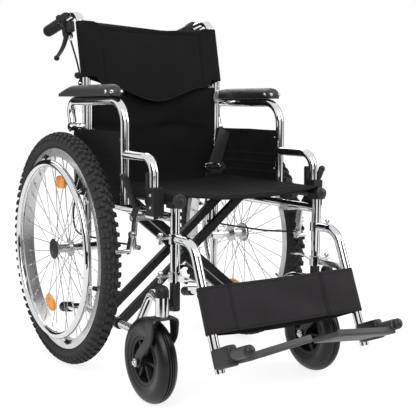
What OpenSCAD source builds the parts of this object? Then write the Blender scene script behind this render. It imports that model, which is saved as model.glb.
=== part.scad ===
// All-terrain folding wheelchair.
// Millimetres, +Z up, front towards -Y, the occupant's left towards +X.
// Every side piece is drawn on the left and mirrored for the right.

/* [Rear wheels] */
// Diameter over the tread
wheel_d = 610; // [580:1:640]
// Width of the tyre
tyre_w = 54; // [44:1:60]
// Outer diameter of the rim
rim_d = 526; // [510:1:536]
// Width of the rim
rim_w = 30; // [24:1:34]
// Depth of the rim section
rim_depth = 22; // [16:1:28]
// Distance between the two tyre centre planes
track = 558; // [550:1:600]
// Diameter of the hub flanges
hub_flange_d = 48; // [42:1:60]
// Distance over the two hub flanges
hub_w = 46; // [40:1:48]
// Diameter of the hub barrel
hub_barrel_d = 26; // [22:1:32]
// Diameter of the rear axle
axle_d = 12; // [10:0.5:14]
// Number of spokes in a wheel
spoke_count = 36; // [12:4:36]
// Diameter of a spoke
spoke_d = 2; // [1.6:0.1:2.2]
// Diameter of the push rim along its tube's centre
handrim_d = 450; // [430:1:476]
// Diameter of the push rim's tube
handrim_tube_d = 18; // [14:1:22]
// Distance from the tyre's centre plane to the push rim
handrim_offset = 34; // [32:1:44]
// Number of tabs that carry the push rim
handrim_tab_count = 6; // [3:1:8]

/* [Casters] */
// Diameter of a caster
caster_d = 200; // [180:1:206]
// Width of the caster tyre
caster_w = 48; // [38:1:52]
// Diameter of the caster's hub
caster_hub_d = 116; // [90:1:130]
// Distance between the two caster planes
caster_track = 480; // [472:1:500]
// How far the caster's axle trails its swivel axis
caster_trail = 53; // [45:1:56]
// Diameter of the caster's axle bolt
caster_axle_d = 10; // [8:0.5:12]
// Diameter of the fork's stem
stem_d = 16; // [12:1:20]
// Diameter of the caster head tube
head_tube_d = 31; // [27:1:36]
// Height of the caster head tube
head_tube_h = 44; // [36:1:52]
// Width of a fork leg
fork_leg_w = 22; // [18:1:26]
// Thickness of a fork leg
fork_leg_t = 6; // [4:0.5:8]

/* [Frame] */
// Distance between the two side frames' tube centres
frame_w = 408; // [396:1:420]
// Diameter of the upright tubes
tube_d = 22; // [20:0.5:24]
// Diameter of the rails
rail_d = 21.6; // [19:0.2:21.8]
// Distance of the rear axle behind the origin
axle_y = 220; // [200:1:240]
// Distance of the back canes behind the rear axle
cane_setback = 8; // [4:1:12]
// Distance of the front posts ahead of the rear axle
post_reach = 450; // [446:1:456]
// Distance of the caster swivel axis ahead of the rear axle
head_reach = 455; // [450:1:465]
// Height of the bottom rails' centres
bottom_rail_z = 132; // [126:1:140]
// Height of the upper side tubes' centres
upper_tube_z = 430; // [422:1:432]
// Length of a tipping lever behind the cane
tip_lever_l = 158; // [120:1:180]
// Drop of the tipping lever's end
tip_lever_drop = 28; // [10:1:40]
// Bend radius of the frame tubes
frame_bend_r = 44; // [36:1:50]

/* [Cross brace] */
// Distance of the front pair of braces ahead of the rear axle
brace_front_reach = 184; // [170:1:200]
// Distance of the rear pair of braces ahead of the rear axle
brace_rear_reach = 95; // [85:1:110]
// Depth of a brace bar
bar_h = 21; // [18:1:28]
// Thickness of a brace bar
bar_t = 15; // [12:1:20]
// Diameter of the bolt where the braces cross
brace_bolt_d = 10; // [8:1:12]
// Wall of the sleeve that turns on the bottom rail
sleeve_wall = 4; // [3:0.5:5]

/* [Seat and back] */
// Height of the seat rails' centres
seat_rail_z = 468; // [466:1:480]
// Thickness of the seat sling
sling_t = 7; // [4:0.5:9]
// Sag of the seat sling in the middle
sling_sag = 14; // [6:1:20]
// Height of the hinge in the back canes
back_hinge_z = 737; // [725:1:745]
// Tilt of the upper back
back_tilt = 12.6; // [10:0.2:14]
// Height of the corner where the cane turns into the handle
handle_corner_z = 926; // [915:1:935]
// Height of the upper back panel's top
back_top_z = 889; // [880:1:890]
// Lowest point of the upper back panel's curved lower edge
back_flap_z = 692; // [685:1:705]
// Thickness of the back panels
panel_t = 7; // [4:0.5:9]
// How far the lower back panel bellies out to the rear
panel_belly = 14; // [6:1:18]
// Width of the lap belt
belt_w = 38; // [25:1:45]

/* [Handles and brakes] */
// Length of the handle tube behind its corner
handle_l = 219; // [200:1:230]
// Fall of the handle towards its end, in degrees
handle_fall = 10; // [5:1:14]
// Length of the rubber grip
grip_l = 96; // [90:1:126]
// Diameter of the rubber grip
grip_d = 32; // [28:1:34]
// Length of the hand brake lever
brake_lever_l = 96; // [80:1:100]
// Diameter of the brake cable
cable_d = 5; // [4:0.5:6]

/* [Arms] */
// Distance between the two arm tubes' centres
arm_span = 462; // [460:1:470]
// Height of the tube under the arm pad
arm_tube_z = 690; // [684:1:700]
// Distance of the arm's front post ahead of the rear axle
arm_post_reach = 262; // [250:1:270]
// Distance of the step tube's front ahead of the rear axle
arm_step_reach = 402; // [396:1:406]
// Height of the step tube
arm_step_z = 563; // [550:1:570]
// Height of the pivot at the back of the arm
arm_pivot_z = 622; // [620:1:632]
// Distance of that pivot behind the rear axle
arm_pivot_back = 34; // [30:1:38]
// Length of the arm pad
pad_l = 322; // [300:1:330]
// Width of the arm pad
pad_w = 38; // [32:1:38]
// Thickness of the arm pad
pad_h = 29; // [22:1:32]
// Height of the skirt guard
skirt_h = 172; // [140:1:172]
// Thickness of the skirt guard
skirt_t = 4; // [3:0.5:5]

/* [Hangers and footplates] */
// Height of the hanger's upper hinge
hanger_z = 385; // [380:1:390]
// Height of the hanger's lower hinge
hanger_low_z = 299; // [290:1:305]
// Distance from the front post to the hanger's bend
hanger_reach = 76; // [72:1:80]
// Lean of the hanger from upright, in degrees
hanger_lean = 22.9; // [21:0.1:25]
// Length of the hanger's sloping tube
hanger_l = 282; // [276:1:290]
// Width of a footplate
plate_w = 158; // [140:1:160]
// Depth of a footplate
plate_d = 93; // [80:1:94]
// Thickness of a footplate
plate_t = 12; // [8:1:14]
// Diameter of the rod that a footplate turns on
plate_rod_d = 16; // [12:1:18]
// How far a footplate rises towards the middle, in degrees
plate_rise = 5.4; // [0:0.2:6]
// Height of the calf strap
strap_h = 102; // [80:1:106]
// Thickness of the calf strap
strap_t = 3; // [2:0.5:3.5]

/* [Wheel locks] */
// Distance of the lock's lever pivot ahead of the rear axle
lock_reach = 338; // [334:1:342]
// Thickness of the lock's flat bars
lock_t = 5; // [4:0.5:6]
// Length of the lever's grip
lock_grip_l = 72; // [60:1:80]
// Diameter of the bar that presses on the tyre
shoe_d = 10; // [8:0.5:12]
// Gap between that bar and the tyre when the lock is off
shoe_gap = 9; // [8.5:0.5:12]

/* [Fits] */
// Radial clearance of what turns or slides
run_fit = 0.05; // [0.02:0.01:0.09]
// Clearance of soft pieces and loose seats
soft_gap = 0.3; // [0.2:0.05:0.5]

/* [Hidden] */
$fn = 64;

// Places that several pieces share
arm_x = arm_span / 2;
arm_gap = 5;
hw = min(frame_w / 2, arm_x - tube_d - arm_gap);
tube_r = tube_d / 2;
rail_r = rail_d / 2;
wheel_gap = 21;
wheel_x = max(track / 2, arm_x + wheel_gap + tyre_w / 2);
rim_r = rim_d / 2;
rim_in_r = rim_r - rim_depth;
tyre_rise = 0.777;
wheel_r = max(wheel_d / 2, rim_r + tyre_rise * tyre_w);
axle_z = wheel_r;
rim_wall = 2.6;
rim_well = 10;
tyre_wall = 5;
cane_y = axle_y + cane_setback;
post_y = axle_y - post_reach;
head_x = caster_track / 2;
head_y = axle_y - head_reach;
caster_y = head_y + caster_trail;
caster_z = caster_d / 2;

// Caster fork and head tube stack, from the tyre's top upwards
crown_gap = 4;
crown_t = 9;
crown_z = caster_d + crown_gap;
head_z = crown_z + crown_t + soft_gap;
head_top_z = head_z + head_tube_h;
fork_inner = caster_w / 2 + 5;
fork_outer = fork_inner + fork_leg_t;
post_foot_z = head_z + 8;
arch_foot = 190;
arch_top = 108;
arch_drop = 13;

// Seat rails rest in cradles on the posts and on the upper tubes
cradle_t = 3;
cradle_w = rail_d + 10;
cradle_l = 28;
post_top_z = seat_rail_z - rail_r - cradle_t;
rail_front_y = post_y - cradle_l / 2 - soft_gap;
rail_cap_r = rail_r + 4;
rail_cap_t = 11;
sling_front_y = post_y - 4;
rail_back_y = cane_y - tube_r - 24;
rear_cradle_y = axle_y - 40;
sling_wrap_t = 2;

// Cylinder on the back of the cane, above the axle
guide_r = 9.5;
guide_z = 370;
guide_h = 56;
guide_y = cane_y + tube_r + guide_r + 1 + soft_gap;

// Axle sleeve on the cane
sleeve_r = axle_d / 2 + 8;
sleeve_in = 18;
sleeve_out = 18;

// Cross brace: the sleeves turn on the bottom rails and the seat rails ride on top
brace_half_z = (seat_rail_z - bottom_rail_z) / 2;
brace_angle = atan2(brace_half_z, hw);
brace_mid_z = bottom_rail_z + brace_half_z;
brace_top = [hw, seat_rail_z] - 16 * [cos(brace_angle), sin(brace_angle)];
brace_pairs = [axle_y - brace_front_reach, axle_y - brace_rear_reach];
brace_step = bar_t / 2 + 1;

// Back cane: hinge behind the tube, bend into the tilt, corner into the handle
hinge_knuckle_r = 9;
hinge_y = cane_y + tube_r + hinge_knuckle_r + soft_gap;
hinge_pin_r = 3;
hinge_eye_w = 8;
tilt_z = back_hinge_z + 18;
corner_y = cane_y + (handle_corner_z - tilt_z) * tan(back_tilt);
handle_bend_r = 38;
bracket_at = handle_l - grip_l - 26;
brake_pivot = [38, bracket_at - 5];
brake_stop = [46, bracket_at - 17];
brake_bend = brake_pivot + [23, 24];
brake_tip = brake_pivot + brake_lever_l * [0.51, 0.86];

// Arms
arm_pivot_y = axle_y + arm_pivot_back;
arm_post_y = axle_y - arm_post_reach;
arm_step_y = axle_y - arm_step_reach;
arm_pin_r = 5;
arm_eye_r = 13;
arm_tube_start = 10;
arm_eye_w = 18;
pad_shift = 6;
pad_setback = 24;
pad_nose = 16;
pad_crown = 1.2;
pad_tail = 64;
arm_pivot = [arm_x, arm_pivot_y, arm_pivot_z];
arm_corner = [arm_x, arm_pivot_y + 22, arm_tube_z];
lug_w = 20;
skirt_top_z = arm_pivot_z - 5;
skirt_corner_r = 14;
lug_t = 6;
lug_x = hw + tube_r - lug_t / 2;
socket_w = tube_d + 5;
socket_l = tube_d + 15;
socket_h = 64;
socket_depth = 24;
socket_wall = 3.2;
socket_z = upper_tube_z + 3;
socket_plate_t = 5;
socket_y0 = arm_step_y - socket_l + tube_r + 4;
arm_foot_z = socket_z + socket_h - socket_depth;
latch_y = socket_y0 + socket_l + soft_gap + 5;
latch_z = socket_z + 30;
latch_pin_r = 2.5;
latch_l = 62;

// Hangers: the foot frame has its Z along the sloping tube and -Y along the plate's rod
hanger_bend_y = post_y - hanger_reach;
hanger_bend_r = 48;
collar_h = 22;
collar_r = tube_r + 4;
clamp_up = 30;
clamp_h = 44;
hanger_end = [hw, hanger_bend_y - hanger_l * sin(hanger_lean), hanger_z - hanger_l * cos(hanger_lean)];
foot_origin = hanger_end + clamp_up * [0, sin(hanger_lean), cos(hanger_lean)];
clamp_reach = tube_r + 55;
plate_start = tube_r + 13;
plate_gap = 28;
plate_edge = min(plate_w + 10, hw - 12);
rod_end = plate_start + plate_d + 3;
knuckle_r = plate_rod_d / 2 + 4.5;
strap_low = 52;
stay_run = (hanger_z - hanger_low_z) * tan(hanger_lean);

// Wheel locks
lock_y = axle_y - lock_reach;
lock_z = upper_tube_z - 8;
lock_x = arm_x + socket_w / 2 + 4;
lock_pin_r = 4;
shoe_z = axle_z + 36;
shoe_y = axle_y - sqrt(pow(wheel_r, 2) - pow(shoe_z - axle_z, 2)) - shoe_gap - shoe_d / 2;
shoe_pivot = [lock_y + 6, lock_z - 40];
lock_arm = [-26, 36];
lock_grip_foot = [lock_x + 8, lock_y + lock_arm.x, lock_z + lock_arm.y - 2];
lock_grip_rise = [33, -5, 66];
lock_grip_dir = unit(lock_grip_rise);
lock_grip_r = 8;
lock_web_h = 8;

// Brake cable route on the left side, chosen by hand, from the lever down to the lock
cable_route = [
    [204, 331.3, 861.9], [204, 321, 846], [204, 306, 824], [204, 288, 797], [204, 271, 764],
    [204, 262, 734], [204, 254.5, 706], [204, 246.5, 680], [204, 242.4, 655], [204, 241.8, 630],
    [204, 241.8, 590],
    [204, 241.8, 545], [204.5, 244, 516], [206, 252, 484], [210, 272, 448], [214, 288, 414],
    [217, 290, 378], [220, 274, 350], [222, 246, 338], [222, 212, 336], [222, 170, 337],
    [222, 120, 339], [222, 60, 341], [222, 0, 344], [225, -46, 348], [232, -80, 351], [238, -105.4, 352]
];
cable_sides = 8;
cable_end = cable_route[len(cable_route) - 1];
clip_z = [548, 590];

// Lap belt: where a half is fixed above the seat rail, where its buckle hangs, where its tail ends
belt_t = 1;
belt_fix_h = 132;
belt_low_h = 26;
belt_tail_h = 64;
belt_top = [hw - tube_r, cane_y - tube_r - soft_gap - belt_t, seat_rail_z + belt_fix_h];
belt_low = [belt_top.x - 28, belt_top.y - 17, seat_rail_z + belt_low_h];
belt_tail = [belt_low.x + 24, belt_low.y + 13, seat_rail_z + belt_tail_h];
belt_steps = 8;
buckle = [belt_w + 6, 8, 30];

// Upper back panel: cloth of its sleeves, where they start and end, and the dip of its lower edge;
// lower back panel: how far it stays off the seat rails and the hinges
sleeve_cloth_t = 2;
sleeve_foot = 12;
sleeve_rise = 4;
flap_dip = 62;
panel_foot = 8;
panel_head = 4;

// A bend is a hair thinner than the straight tubes, which run a little way into it
elbow_step = 0.05;
elbow_lap = 0.6;

// Geometry helpers
function unit(v) = v / norm(v);
function bend_cut(a, v, b, r) = let (c = unit(a - v) * unit(b - v)) r * sqrt((1 + c) / (1 - c));

module left() children();

module right() mirror([1, 0, 0]) children();

module rod(p, q, r) {
    d = q - p;
    translate(p)
        rotate([0, acos(d.z / norm(d)), atan2(d.y, d.x)])
            cylinder(h = norm(d), r = r);
}

module elbow(a, v, b, bend_r, r) {
    u1 = unit(a - v);
    u2 = unit(b - v);
    half = acos(u1 * u2) / 2;
    c = v + unit(u1 + u2) * bend_r / sin(half);
    x = unit(v + u1 * bend_r / tan(half) - c);
    y = -u1;
    z = cross(x, y);
    multmatrix([[x.x, y.x, z.x, c.x], [x.y, y.y, z.y, c.y], [x.z, y.z, z.z, c.z], [0, 0, 0, 1]])
        rotate_extrude(angle = 180 - 2 * half)
            translate([bend_r, 0])
                circle(r - elbow_step);
}

// A tube along points, with a bend radius for each inner point
module pipe(pts, bends, r) {
    last = len(pts) - 1;
    cut = [
        for (i = [0:last])
            i == 0 || i == last ? 0 : bend_cut(pts[i - 1], pts[i], pts[i + 1], bends[i - 1])
    ];
    for (i = [0:last - 1]) {
        d = unit(pts[i + 1] - pts[i]);
        in0 = i == 0 ? 0 : cut[i] - elbow_lap;
        in1 = i == last - 1 ? 0 : cut[i + 1] - elbow_lap;
        rod(pts[i] + d * in0, pts[i + 1] - d * in1, r);
    }
    for (i = [1:last - 1])
        elbow(pts[i - 1], pts[i], pts[i + 1], bends[i - 1], r);
}

// A flat outline in Y and Z, given thickness from x0 to x1
module along_x(x0, x1)
    translate([x0, 0, 0])
        rotate([90, 0, 90])
            linear_extrude(x1 - x0)
                children();

// A flat outline in X and Z, given thickness from y0 to y1
module along_y(y0, y1)
    translate([0, y1, 0])
        rotate([90, 0, 0])
            linear_extrude(y1 - y0)
                children();

module disc_x(x0, x1, y, z, r) rod([x0, y, z], [x1, y, z], r);

// A flat bar with round ends, which stand a hair proud of its sides
module bar2d(p, q, w) {
    translate(p)
        circle(w / 2 + elbow_step);
    translate(q)
        circle(w / 2 + elbow_step);
    translate(p)
        rotate(atan2(q.y - p.y, q.x - p.x))
            translate([0, -w / 2])
                square([norm(q - p), w]);
}

// A ring section turned about the wheel's axis: outline in radius and distance outwards
module turned(x, y, z)
    translate([x, y, z])
        rotate([0, 90, 0])
            rotate_extrude($fn = 128)
                children();

module block(low, high) translate(low) cube(high - low);

// Swept round cord: rings at the route's points, closed at both ends
function cord_dir(p, i) = unit(p[min(i + 1, len(p) - 1)] - p[max(i - 1, 0)]);
function cord_ring(p, i, r, n) =
    let (t = cord_dir(p, i), a = unit(cross([1, 0, 0], t)), b = cross(t, a))
    [for (k = [0:n - 1]) p[i] + r * (a * cos(360 * k / n) + b * sin(360 * k / n))];
function cord_side(i, k, n) =
    let (a = i * n + k, b = i * n + (k + 1) % n) [[a, a + n, b], [b, a + n, b + n]];

module cord(p, r, n) {
    rings = [for (i = [0:len(p) - 1]) each cord_ring(p, i, r, n)];
    last = (len(p) - 1) * n;
    sides = [for (i = [0:len(p) - 2]) for (k = [0:n - 1]) each cord_side(i, k, n)];
    near = [for (k = [1:n - 2]) [0, k, k + 1]];
    far = [for (k = [1:n - 2]) [last, last + k + 1, last + k]];
    polyhedron(rings, concat(sides, near, far));
}

// Side frame: cane, front post, upper tube, bottom rail with its arch to the head tube, lugs
module side_frame()
    color("silver")
        difference() {
            union() {
                rod([hw, cane_y, bottom_rail_z + 3], [hw, cane_y, back_hinge_z - soft_gap], tube_r);
                rod([hw, post_y, post_foot_z], [hw, post_y, post_top_z], tube_r);
                rod([hw, post_y, upper_tube_z], [hw, cane_y, upper_tube_z], rail_r);
                bottom_rail();
                translate([head_x, head_y, head_z])
                    cylinder(h = head_tube_h, d = head_tube_d);
                block(
                    [min(hw, head_x), post_y - 8, head_z + 10],
                    [max(hw, head_x), post_y, head_top_z - 6]
                );
                disc_x(hw - sleeve_in, hw + sleeve_out, axle_y, axle_z, sleeve_r);
                arm_lug();
                back_hinge_lug();
                translate([hw, guide_y, guide_z - guide_h / 2 - 3])
                    cylinder(h = guide_h + 6, r = guide_r);
                block([hw - 4, cane_y, guide_z - 10], [hw + 4, guide_y, guide_z + 10]);
                block(
                    [hw, socket_y0, socket_z - socket_plate_t],
                    [arm_x + socket_w / 2, socket_y0 + socket_l, socket_z]
                );
            }
            translate([head_x, head_y, head_z - 1])
                cylinder(h = head_tube_h + 2, d = stem_d + 2 * run_fit);
            disc_x(hw - sleeve_in - 1, hw + sleeve_out + 1, axle_y, axle_z, axle_d / 2);
            translate([hw, post_y, post_foot_z - 1])
                cylinder(h = 30, r = tube_r - 1.5);
        }

module bottom_rail()
    pipe(
        [
            [hw, cane_y + tip_lever_l, bottom_rail_z - tip_lever_drop],
            [hw, cane_y + 16, bottom_rail_z],
            [hw, head_y + arch_foot, bottom_rail_z],
            [hw, head_y + arch_top, head_top_z - arch_drop],
            [head_x, head_y, head_top_z - arch_drop]
        ],
        [60, frame_bend_r, frame_bend_r],
        rail_r
    );

module arm_lug() {
    along_x(lug_x, lug_x + lug_t)
        bar2d([cane_y, arm_pivot_z], [arm_pivot_y, arm_pivot_z], lug_w);
    disc_x(lug_x, arm_x + arm_eye_w / 2 + 4, arm_pivot_y, arm_pivot_z, arm_pin_r);
    disc_x(
        arm_x + arm_eye_w / 2 + soft_gap, arm_x + arm_eye_w / 2 + 4,
        arm_pivot_y, arm_pivot_z, arm_pin_r + 3
    );
}

module back_hinge_lug() {
    disc_x(hw - hinge_eye_w / 2, hw + hinge_eye_w / 2, hinge_y, back_hinge_z, hinge_knuckle_r);
    block(
        [hw - hinge_eye_w / 2, cane_y, back_hinge_z - 26],
        [hw + hinge_eye_w / 2, hinge_y + 2, back_hinge_z - soft_gap]
    );
    disc_x(hw - hinge_eye_w - 5, hw + hinge_eye_w + 5, hinge_y, back_hinge_z, hinge_pin_r);
}

// Axle: pin, inner nut and the spacer that keeps the hub off the frame
module rear_axle()
    color("gray") {
        disc_x(hw - sleeve_in - 10, wheel_x + hub_w / 2 - 4, axle_y, axle_z, axle_d / 2);
        translate([hw - sleeve_in - 8, axle_y, axle_z])
            rotate([0, 90, 0])
                cylinder(h = 8, d = axle_d * 1.8, $fn = 6);
        disc_x(
            hw + sleeve_out, wheel_x - hub_w / 2 - soft_gap,
            axle_y, axle_z, axle_d / 2 + 4
        );
    }

// Black fittings: seat rail cradles, tipping lever tip, head tube cap and front arm socket
module frame_fittings()
    color("#202022") {
        difference() {
            block(
                [hw - cradle_w / 2, post_y - cradle_l / 2, post_top_z],
                [hw + cradle_w / 2, post_y + cradle_l / 2, seat_rail_z]
            );
            rail_space();
        }
        difference() {
            block(
                [hw - cradle_w / 2, rear_cradle_y - cradle_l / 2, upper_tube_z],
                [hw + cradle_w / 2, rear_cradle_y + cradle_l / 2, seat_rail_z]
            );
            rail_space();
            rod([hw, post_y, upper_tube_z], [hw, cane_y, upper_tube_z], rail_r);
        }
        tip_cap();
        difference() {
            translate([head_x, head_y, head_top_z])
                head_cap();
            rod([hw, post_y, post_foot_z], [hw, post_y, post_top_z], tube_r);
        }
        arm_socket();
        latch_ears();
        for (z = clip_z)
            translate([hw, cane_y, z])
                cable_clip();
        for (z = [guide_z - guide_h / 2, guide_z + guide_h / 2])
            translate([hw, guide_y, z - 4])
                difference() {
                    cylinder(h = 8, r = guide_r + 1);
                    cylinder(h = guide_h, r = guide_r, center = true);
                }
    }

// Clip round the cane and the brake cable
module cable_clip()
    linear_extrude(8)
        difference() {
            union() {
                circle(tube_r + 2);
                translate([-4, 0])
                    square([8, tube_r + soft_gap + cable_d / 2]);
                translate([0, tube_r + soft_gap + cable_d / 2])
                    circle(4.5);
            }
            circle(tube_r);
            translate([-2 * tube_r, 4.5 - 2 * tube_d])
                square([2 * tube_d, 2 * tube_d]);
            translate([0, tube_r + soft_gap + cable_d / 2])
                circle(cable_d / 2 + soft_gap);
            translate([-1.5, 0])
                square([3, tube_r + cable_d / 2]);
        }

module latch_ears() {
    y1 = socket_y0 + socket_l;
    for (s = [-1, 1])
        translate([arm_x + s * 8.8, 0, 0])
            along_x(-1.5, 1.5)
                bar2d([y1 + 2, latch_z], [latch_y, latch_z], 10);
    disc_x(arm_x - 10, arm_x + 10, latch_y, latch_z, latch_pin_r);
}

module rail_space()
    rod([hw, rail_front_y - 40, seat_rail_z], [hw, rail_back_y + 40, seat_rail_z], rail_r + soft_gap);

module tip_cap() {
    fall = atan2(tip_lever_drop, tip_lever_l - 16);
    translate([hw, cane_y + tip_lever_l, bottom_rail_z - tip_lever_drop])
        rotate([-90 - fall, 0, 0]) {
            difference() {
                translate([0, 0, -42])
                    cylinder(h = 48, r = rail_r + 3.5);
                translate([0, 0, -43])
                    cylinder(h = 43, r = rail_r);
            }
        }
}

module head_cap() {
    cap_r = head_tube_d / 2;
    cylinder(h = 12, r = cap_r);
    translate([0, 0, 12])
        intersection() {
            sphere(r = cap_r);
            cylinder(h = cap_r, r = cap_r);
        }
}

module arm_socket()
    difference() {
        block(
            [arm_x - socket_w / 2, socket_y0, socket_z],
            [arm_x + socket_w / 2, socket_y0 + socket_l, socket_z + socket_h]
        );
        translate([0, 0, arm_foot_z - 1])
            linear_extrude(socket_depth + 2)
                bar2d(
                    [arm_x, socket_y0 + socket_wall + tube_r + soft_gap],
                    [arm_x, arm_step_y],
                    tube_d + 2 * soft_gap
                );
    }

// Bracket of the wheel lock, clamped under the upper tube
module lock_bracket()
    color("dimgray")
        difference() {
            union() {
                block([hw - 14, lock_y - 16, lock_z - 6], [hw + 14, lock_y + 18, upper_tube_z]);
                block([hw, lock_y - 14, lock_z - 6], [lock_x - 6, lock_y + 16, lock_z + 6]);
                along_x(lock_x - 6, lock_x - 1) {
                    bar2d([lock_y, lock_z], shoe_pivot, 20);
                    bar2d(shoe_pivot, [shoe_pivot.x - 4, cable_end.z], 12);
                }
                rod(cable_end - [0, 0.5, 0], cable_end - [0, 18, 0], 6);
                block(
                    [min(cable_end.x, lock_x - 6), shoe_pivot.x - lock_web_h, cable_end.z - lock_web_h / 2],
                    [max(cable_end.x, lock_x - 2), shoe_pivot.x, cable_end.z + lock_web_h / 2]
                );
                disc_x(lock_x - 6, lock_x + lock_t + 3, lock_y, lock_z, lock_pin_r);
                disc_x(lock_x + lock_t + 0.5, lock_x + lock_t + 3, lock_y, lock_z, lock_pin_r + 3);
                disc_x(lock_x - 6, lock_x + lock_t + 3, shoe_pivot.x, shoe_pivot.y, lock_pin_r);
                disc_x(
                    lock_x + lock_t + 0.5, lock_x + lock_t + 3,
                    shoe_pivot.x, shoe_pivot.y, lock_pin_r + 3
                );
            }
            rod([hw, post_y, upper_tube_z], [hw, cane_y, upper_tube_z], rail_r);
        }

module lock_lever()
    color("#1c1c1e")
        difference() {
            union() {
                along_x(lock_x, lock_x + lock_t)
                    bar2d([lock_y, lock_z], [lock_y, lock_z] + lock_arm, 18);
                rod(lock_grip_foot - [0, 0, 6], lock_grip_foot + lock_grip_l * lock_grip_dir, lock_grip_r);
                translate(lock_grip_foot + lock_grip_l * lock_grip_dir)
                    sphere(lock_grip_r + 0.6);
            }
            disc_x(lock_x - 1, lock_x + lock_t + 1, lock_y, lock_z, lock_pin_r + run_fit);
        }

module lock_shoe()
    color("silver")
        difference() {
            union() {
                along_x(lock_x, lock_x + lock_t) {
                    bar2d(shoe_pivot, [shoe_y, shoe_z], 16);
                }
                disc_x(lock_x - 2, wheel_x + 4, shoe_y, shoe_z, shoe_d / 2);
            }
            disc_x(
                lock_x - 3, lock_x + lock_t + 1,
                shoe_pivot.x, shoe_pivot.y, lock_pin_r + run_fit
            );
        }

module brake_cable()
    color("black")
        cord(cable_route, cable_d / 2, cable_sides);

// Arm: looped tube with the front post, and the step tube that drops into the socket
module arm_tube()
    color("silver")
        difference() {
            union() {
                pipe(
                    [
                        arm_pivot + arm_tube_start * unit(arm_corner - arm_pivot),
                        arm_corner,
                        [arm_x, arm_post_y, arm_tube_z],
                        [arm_x, arm_post_y, skirt_top_z - skirt_h]
                    ],
                    [28, 58],
                    tube_r
                );
                pipe(
                    [
                        [arm_x, arm_post_y, arm_step_z],
                        [arm_x, arm_step_y, arm_step_z],
                        [arm_x, arm_step_y, arm_foot_z]
                    ],
                    [40],
                    tube_r - 0.2
                );
                disc_x(
                    arm_x - arm_eye_w / 2, arm_x + arm_eye_w / 2,
                    arm_pivot_y, arm_pivot_z, arm_eye_r
                );
            }
            disc_x(
                arm_x - arm_eye_w, arm_x + arm_eye_w,
                arm_pivot_y, arm_pivot_z, arm_pin_r + run_fit
            );
        }

// Moulded pad: flat underside, crowned top that falls to the rear and to the front, round ends
module arm_pad() {
    z0 = arm_tube_z + tube_r + soft_gap;
    front = arm_post_y + pad_setback;
    back = front + pad_l;
    top = z0 + pad_h;
    color("#1d1d1f")
        translate([arm_x + pad_shift, 0, 0])
            intersection() {
                along_x(-pad_w, pad_w)
                    polygon(concat(
                        [[back, z0], [front + 4, z0]],
                        [for (a = [200:-20:100])
                            [front + pad_nose + pad_nose * cos(a), top - pad_nose + pad_nose * sin(a)]],
                        [for (k = [0:6])
                            [front + 20 + k * (pad_l - pad_tail) / 6,
                                top - pad_crown + pad_crown * cos(30 * (k - 3))]],
                        [[back - 20, top - 11], [back, z0 + 8]]
                    ));
                translate([0, 0, z0 - 1])
                    linear_extrude(pad_h + 2)
                        bar2d([0, front + pad_w / 2 + 1.5], [0, back - pad_w / 2 - 1], pad_w);
            }
}

module skirt_guard() {
    y0 = arm_post_y + tube_r + soft_gap;
    y1 = arm_pivot_y - 20;
    r = skirt_corner_r;
    color("#161618")
        along_x(arm_x - skirt_t / 2, arm_x + skirt_t / 2)
            union() {
                translate([y0, skirt_top_z - skirt_h])
                    square([y1 + r - y0, skirt_h - r]);
                translate([y0, skirt_top_z - r - 1])
                    square([y1 - y0, r + 1]);
                translate([y1, skirt_top_z - r])
                    circle(r);
            }
}

// Paddle behind the front socket that frees the arm
module arm_latch()
    color("#1c1c1e")
        difference() {
            along_x(arm_x - 7, arm_x + 7)
                bar2d([latch_y, latch_z], [latch_y + 2, latch_z + latch_l], 10);
            disc_x(arm_x - 8, arm_x + 8, latch_y, latch_z, latch_pin_r + run_fit);
        }

// Upper cane with the hinge eyes, the tilt and the handle
module back_cane()
    color("silver")
        difference() {
            union() {
                pipe(
                    [
                        [hw, cane_y, back_hinge_z + soft_gap],
                        [hw, cane_y, tilt_z],
                        [hw, corner_y, handle_corner_z],
                        handle_point(handle_l)
                    ],
                    [50, handle_bend_r],
                    tube_r
                );
                for (s = [-1, 1])
                    translate([hw + s * (hinge_eye_w / 2 + soft_gap + 3), 0, 0])
                        cane_eye();
            }
            disc_x(
                hw - hinge_eye_w - 6, hw + hinge_eye_w + 6,
                hinge_y, back_hinge_z, hinge_pin_r + run_fit
            );
        }

function handle_point(d) =
    [hw, corner_y + d * cos(handle_fall), handle_corner_z - d * sin(handle_fall)];

module cane_eye() {
    disc_x(-3, 3, hinge_y, back_hinge_z, hinge_knuckle_r);
    block(
        [-3, cane_y, back_hinge_z + soft_gap],
        [3, hinge_y + 2, back_hinge_z + 26]
    );
}

// Places its children along the handle: Z runs along the tube from the corner
module on_handle()
    translate([hw, corner_y, handle_corner_z])
        rotate([-90 - handle_fall, 0, 0])
            children();

module push_grip() {
    ring_count = 7;
    color("#1b1b1d")
        on_handle()
            difference() {
                union() {
                    translate([0, 0, handle_l - grip_l])
                        cylinder(h = grip_l + 4, d = grip_d - 4);
                    for (k = [0:ring_count - 1])
                        translate([0, 0, handle_l - grip_l + 8 + k * (grip_l - 14) / ring_count])
                            cylinder(h = 6, d = grip_d);
                }
                translate([0, 0, handle_l - grip_l - 1])
                    cylinder(h = grip_l + 1, r = tube_r);
            }
}

// Brake bracket: clamp round the handle, fork that holds the lever, stop for the cable
module brake_bracket()
    color("#141416")
        on_handle()
            difference() {
                union() {
                    translate([0, 0, bracket_at - 11])
                        cylinder(h = 22, r = tube_r + 5);
                    along_x(-9, 9) {
                        bar2d([tube_r + 2, bracket_at], brake_pivot, 20);
                        bar2d(brake_pivot, brake_stop, 14);
                    }
                }
                translate([0, 0, bracket_at - 12])
                    cylinder(h = 24, r = tube_r);
                disc_x(-10, 10, brake_pivot.x, brake_pivot.y, 3 + run_fit);
                along_x(-6.3, 6.3) {
                    translate(brake_pivot)
                        circle(10.5);
                    bar2d(brake_pivot, brake_bend, 13);
                    bar2d(brake_pivot, brake_pivot + [8, 34], 13);
                }
            }

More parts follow.
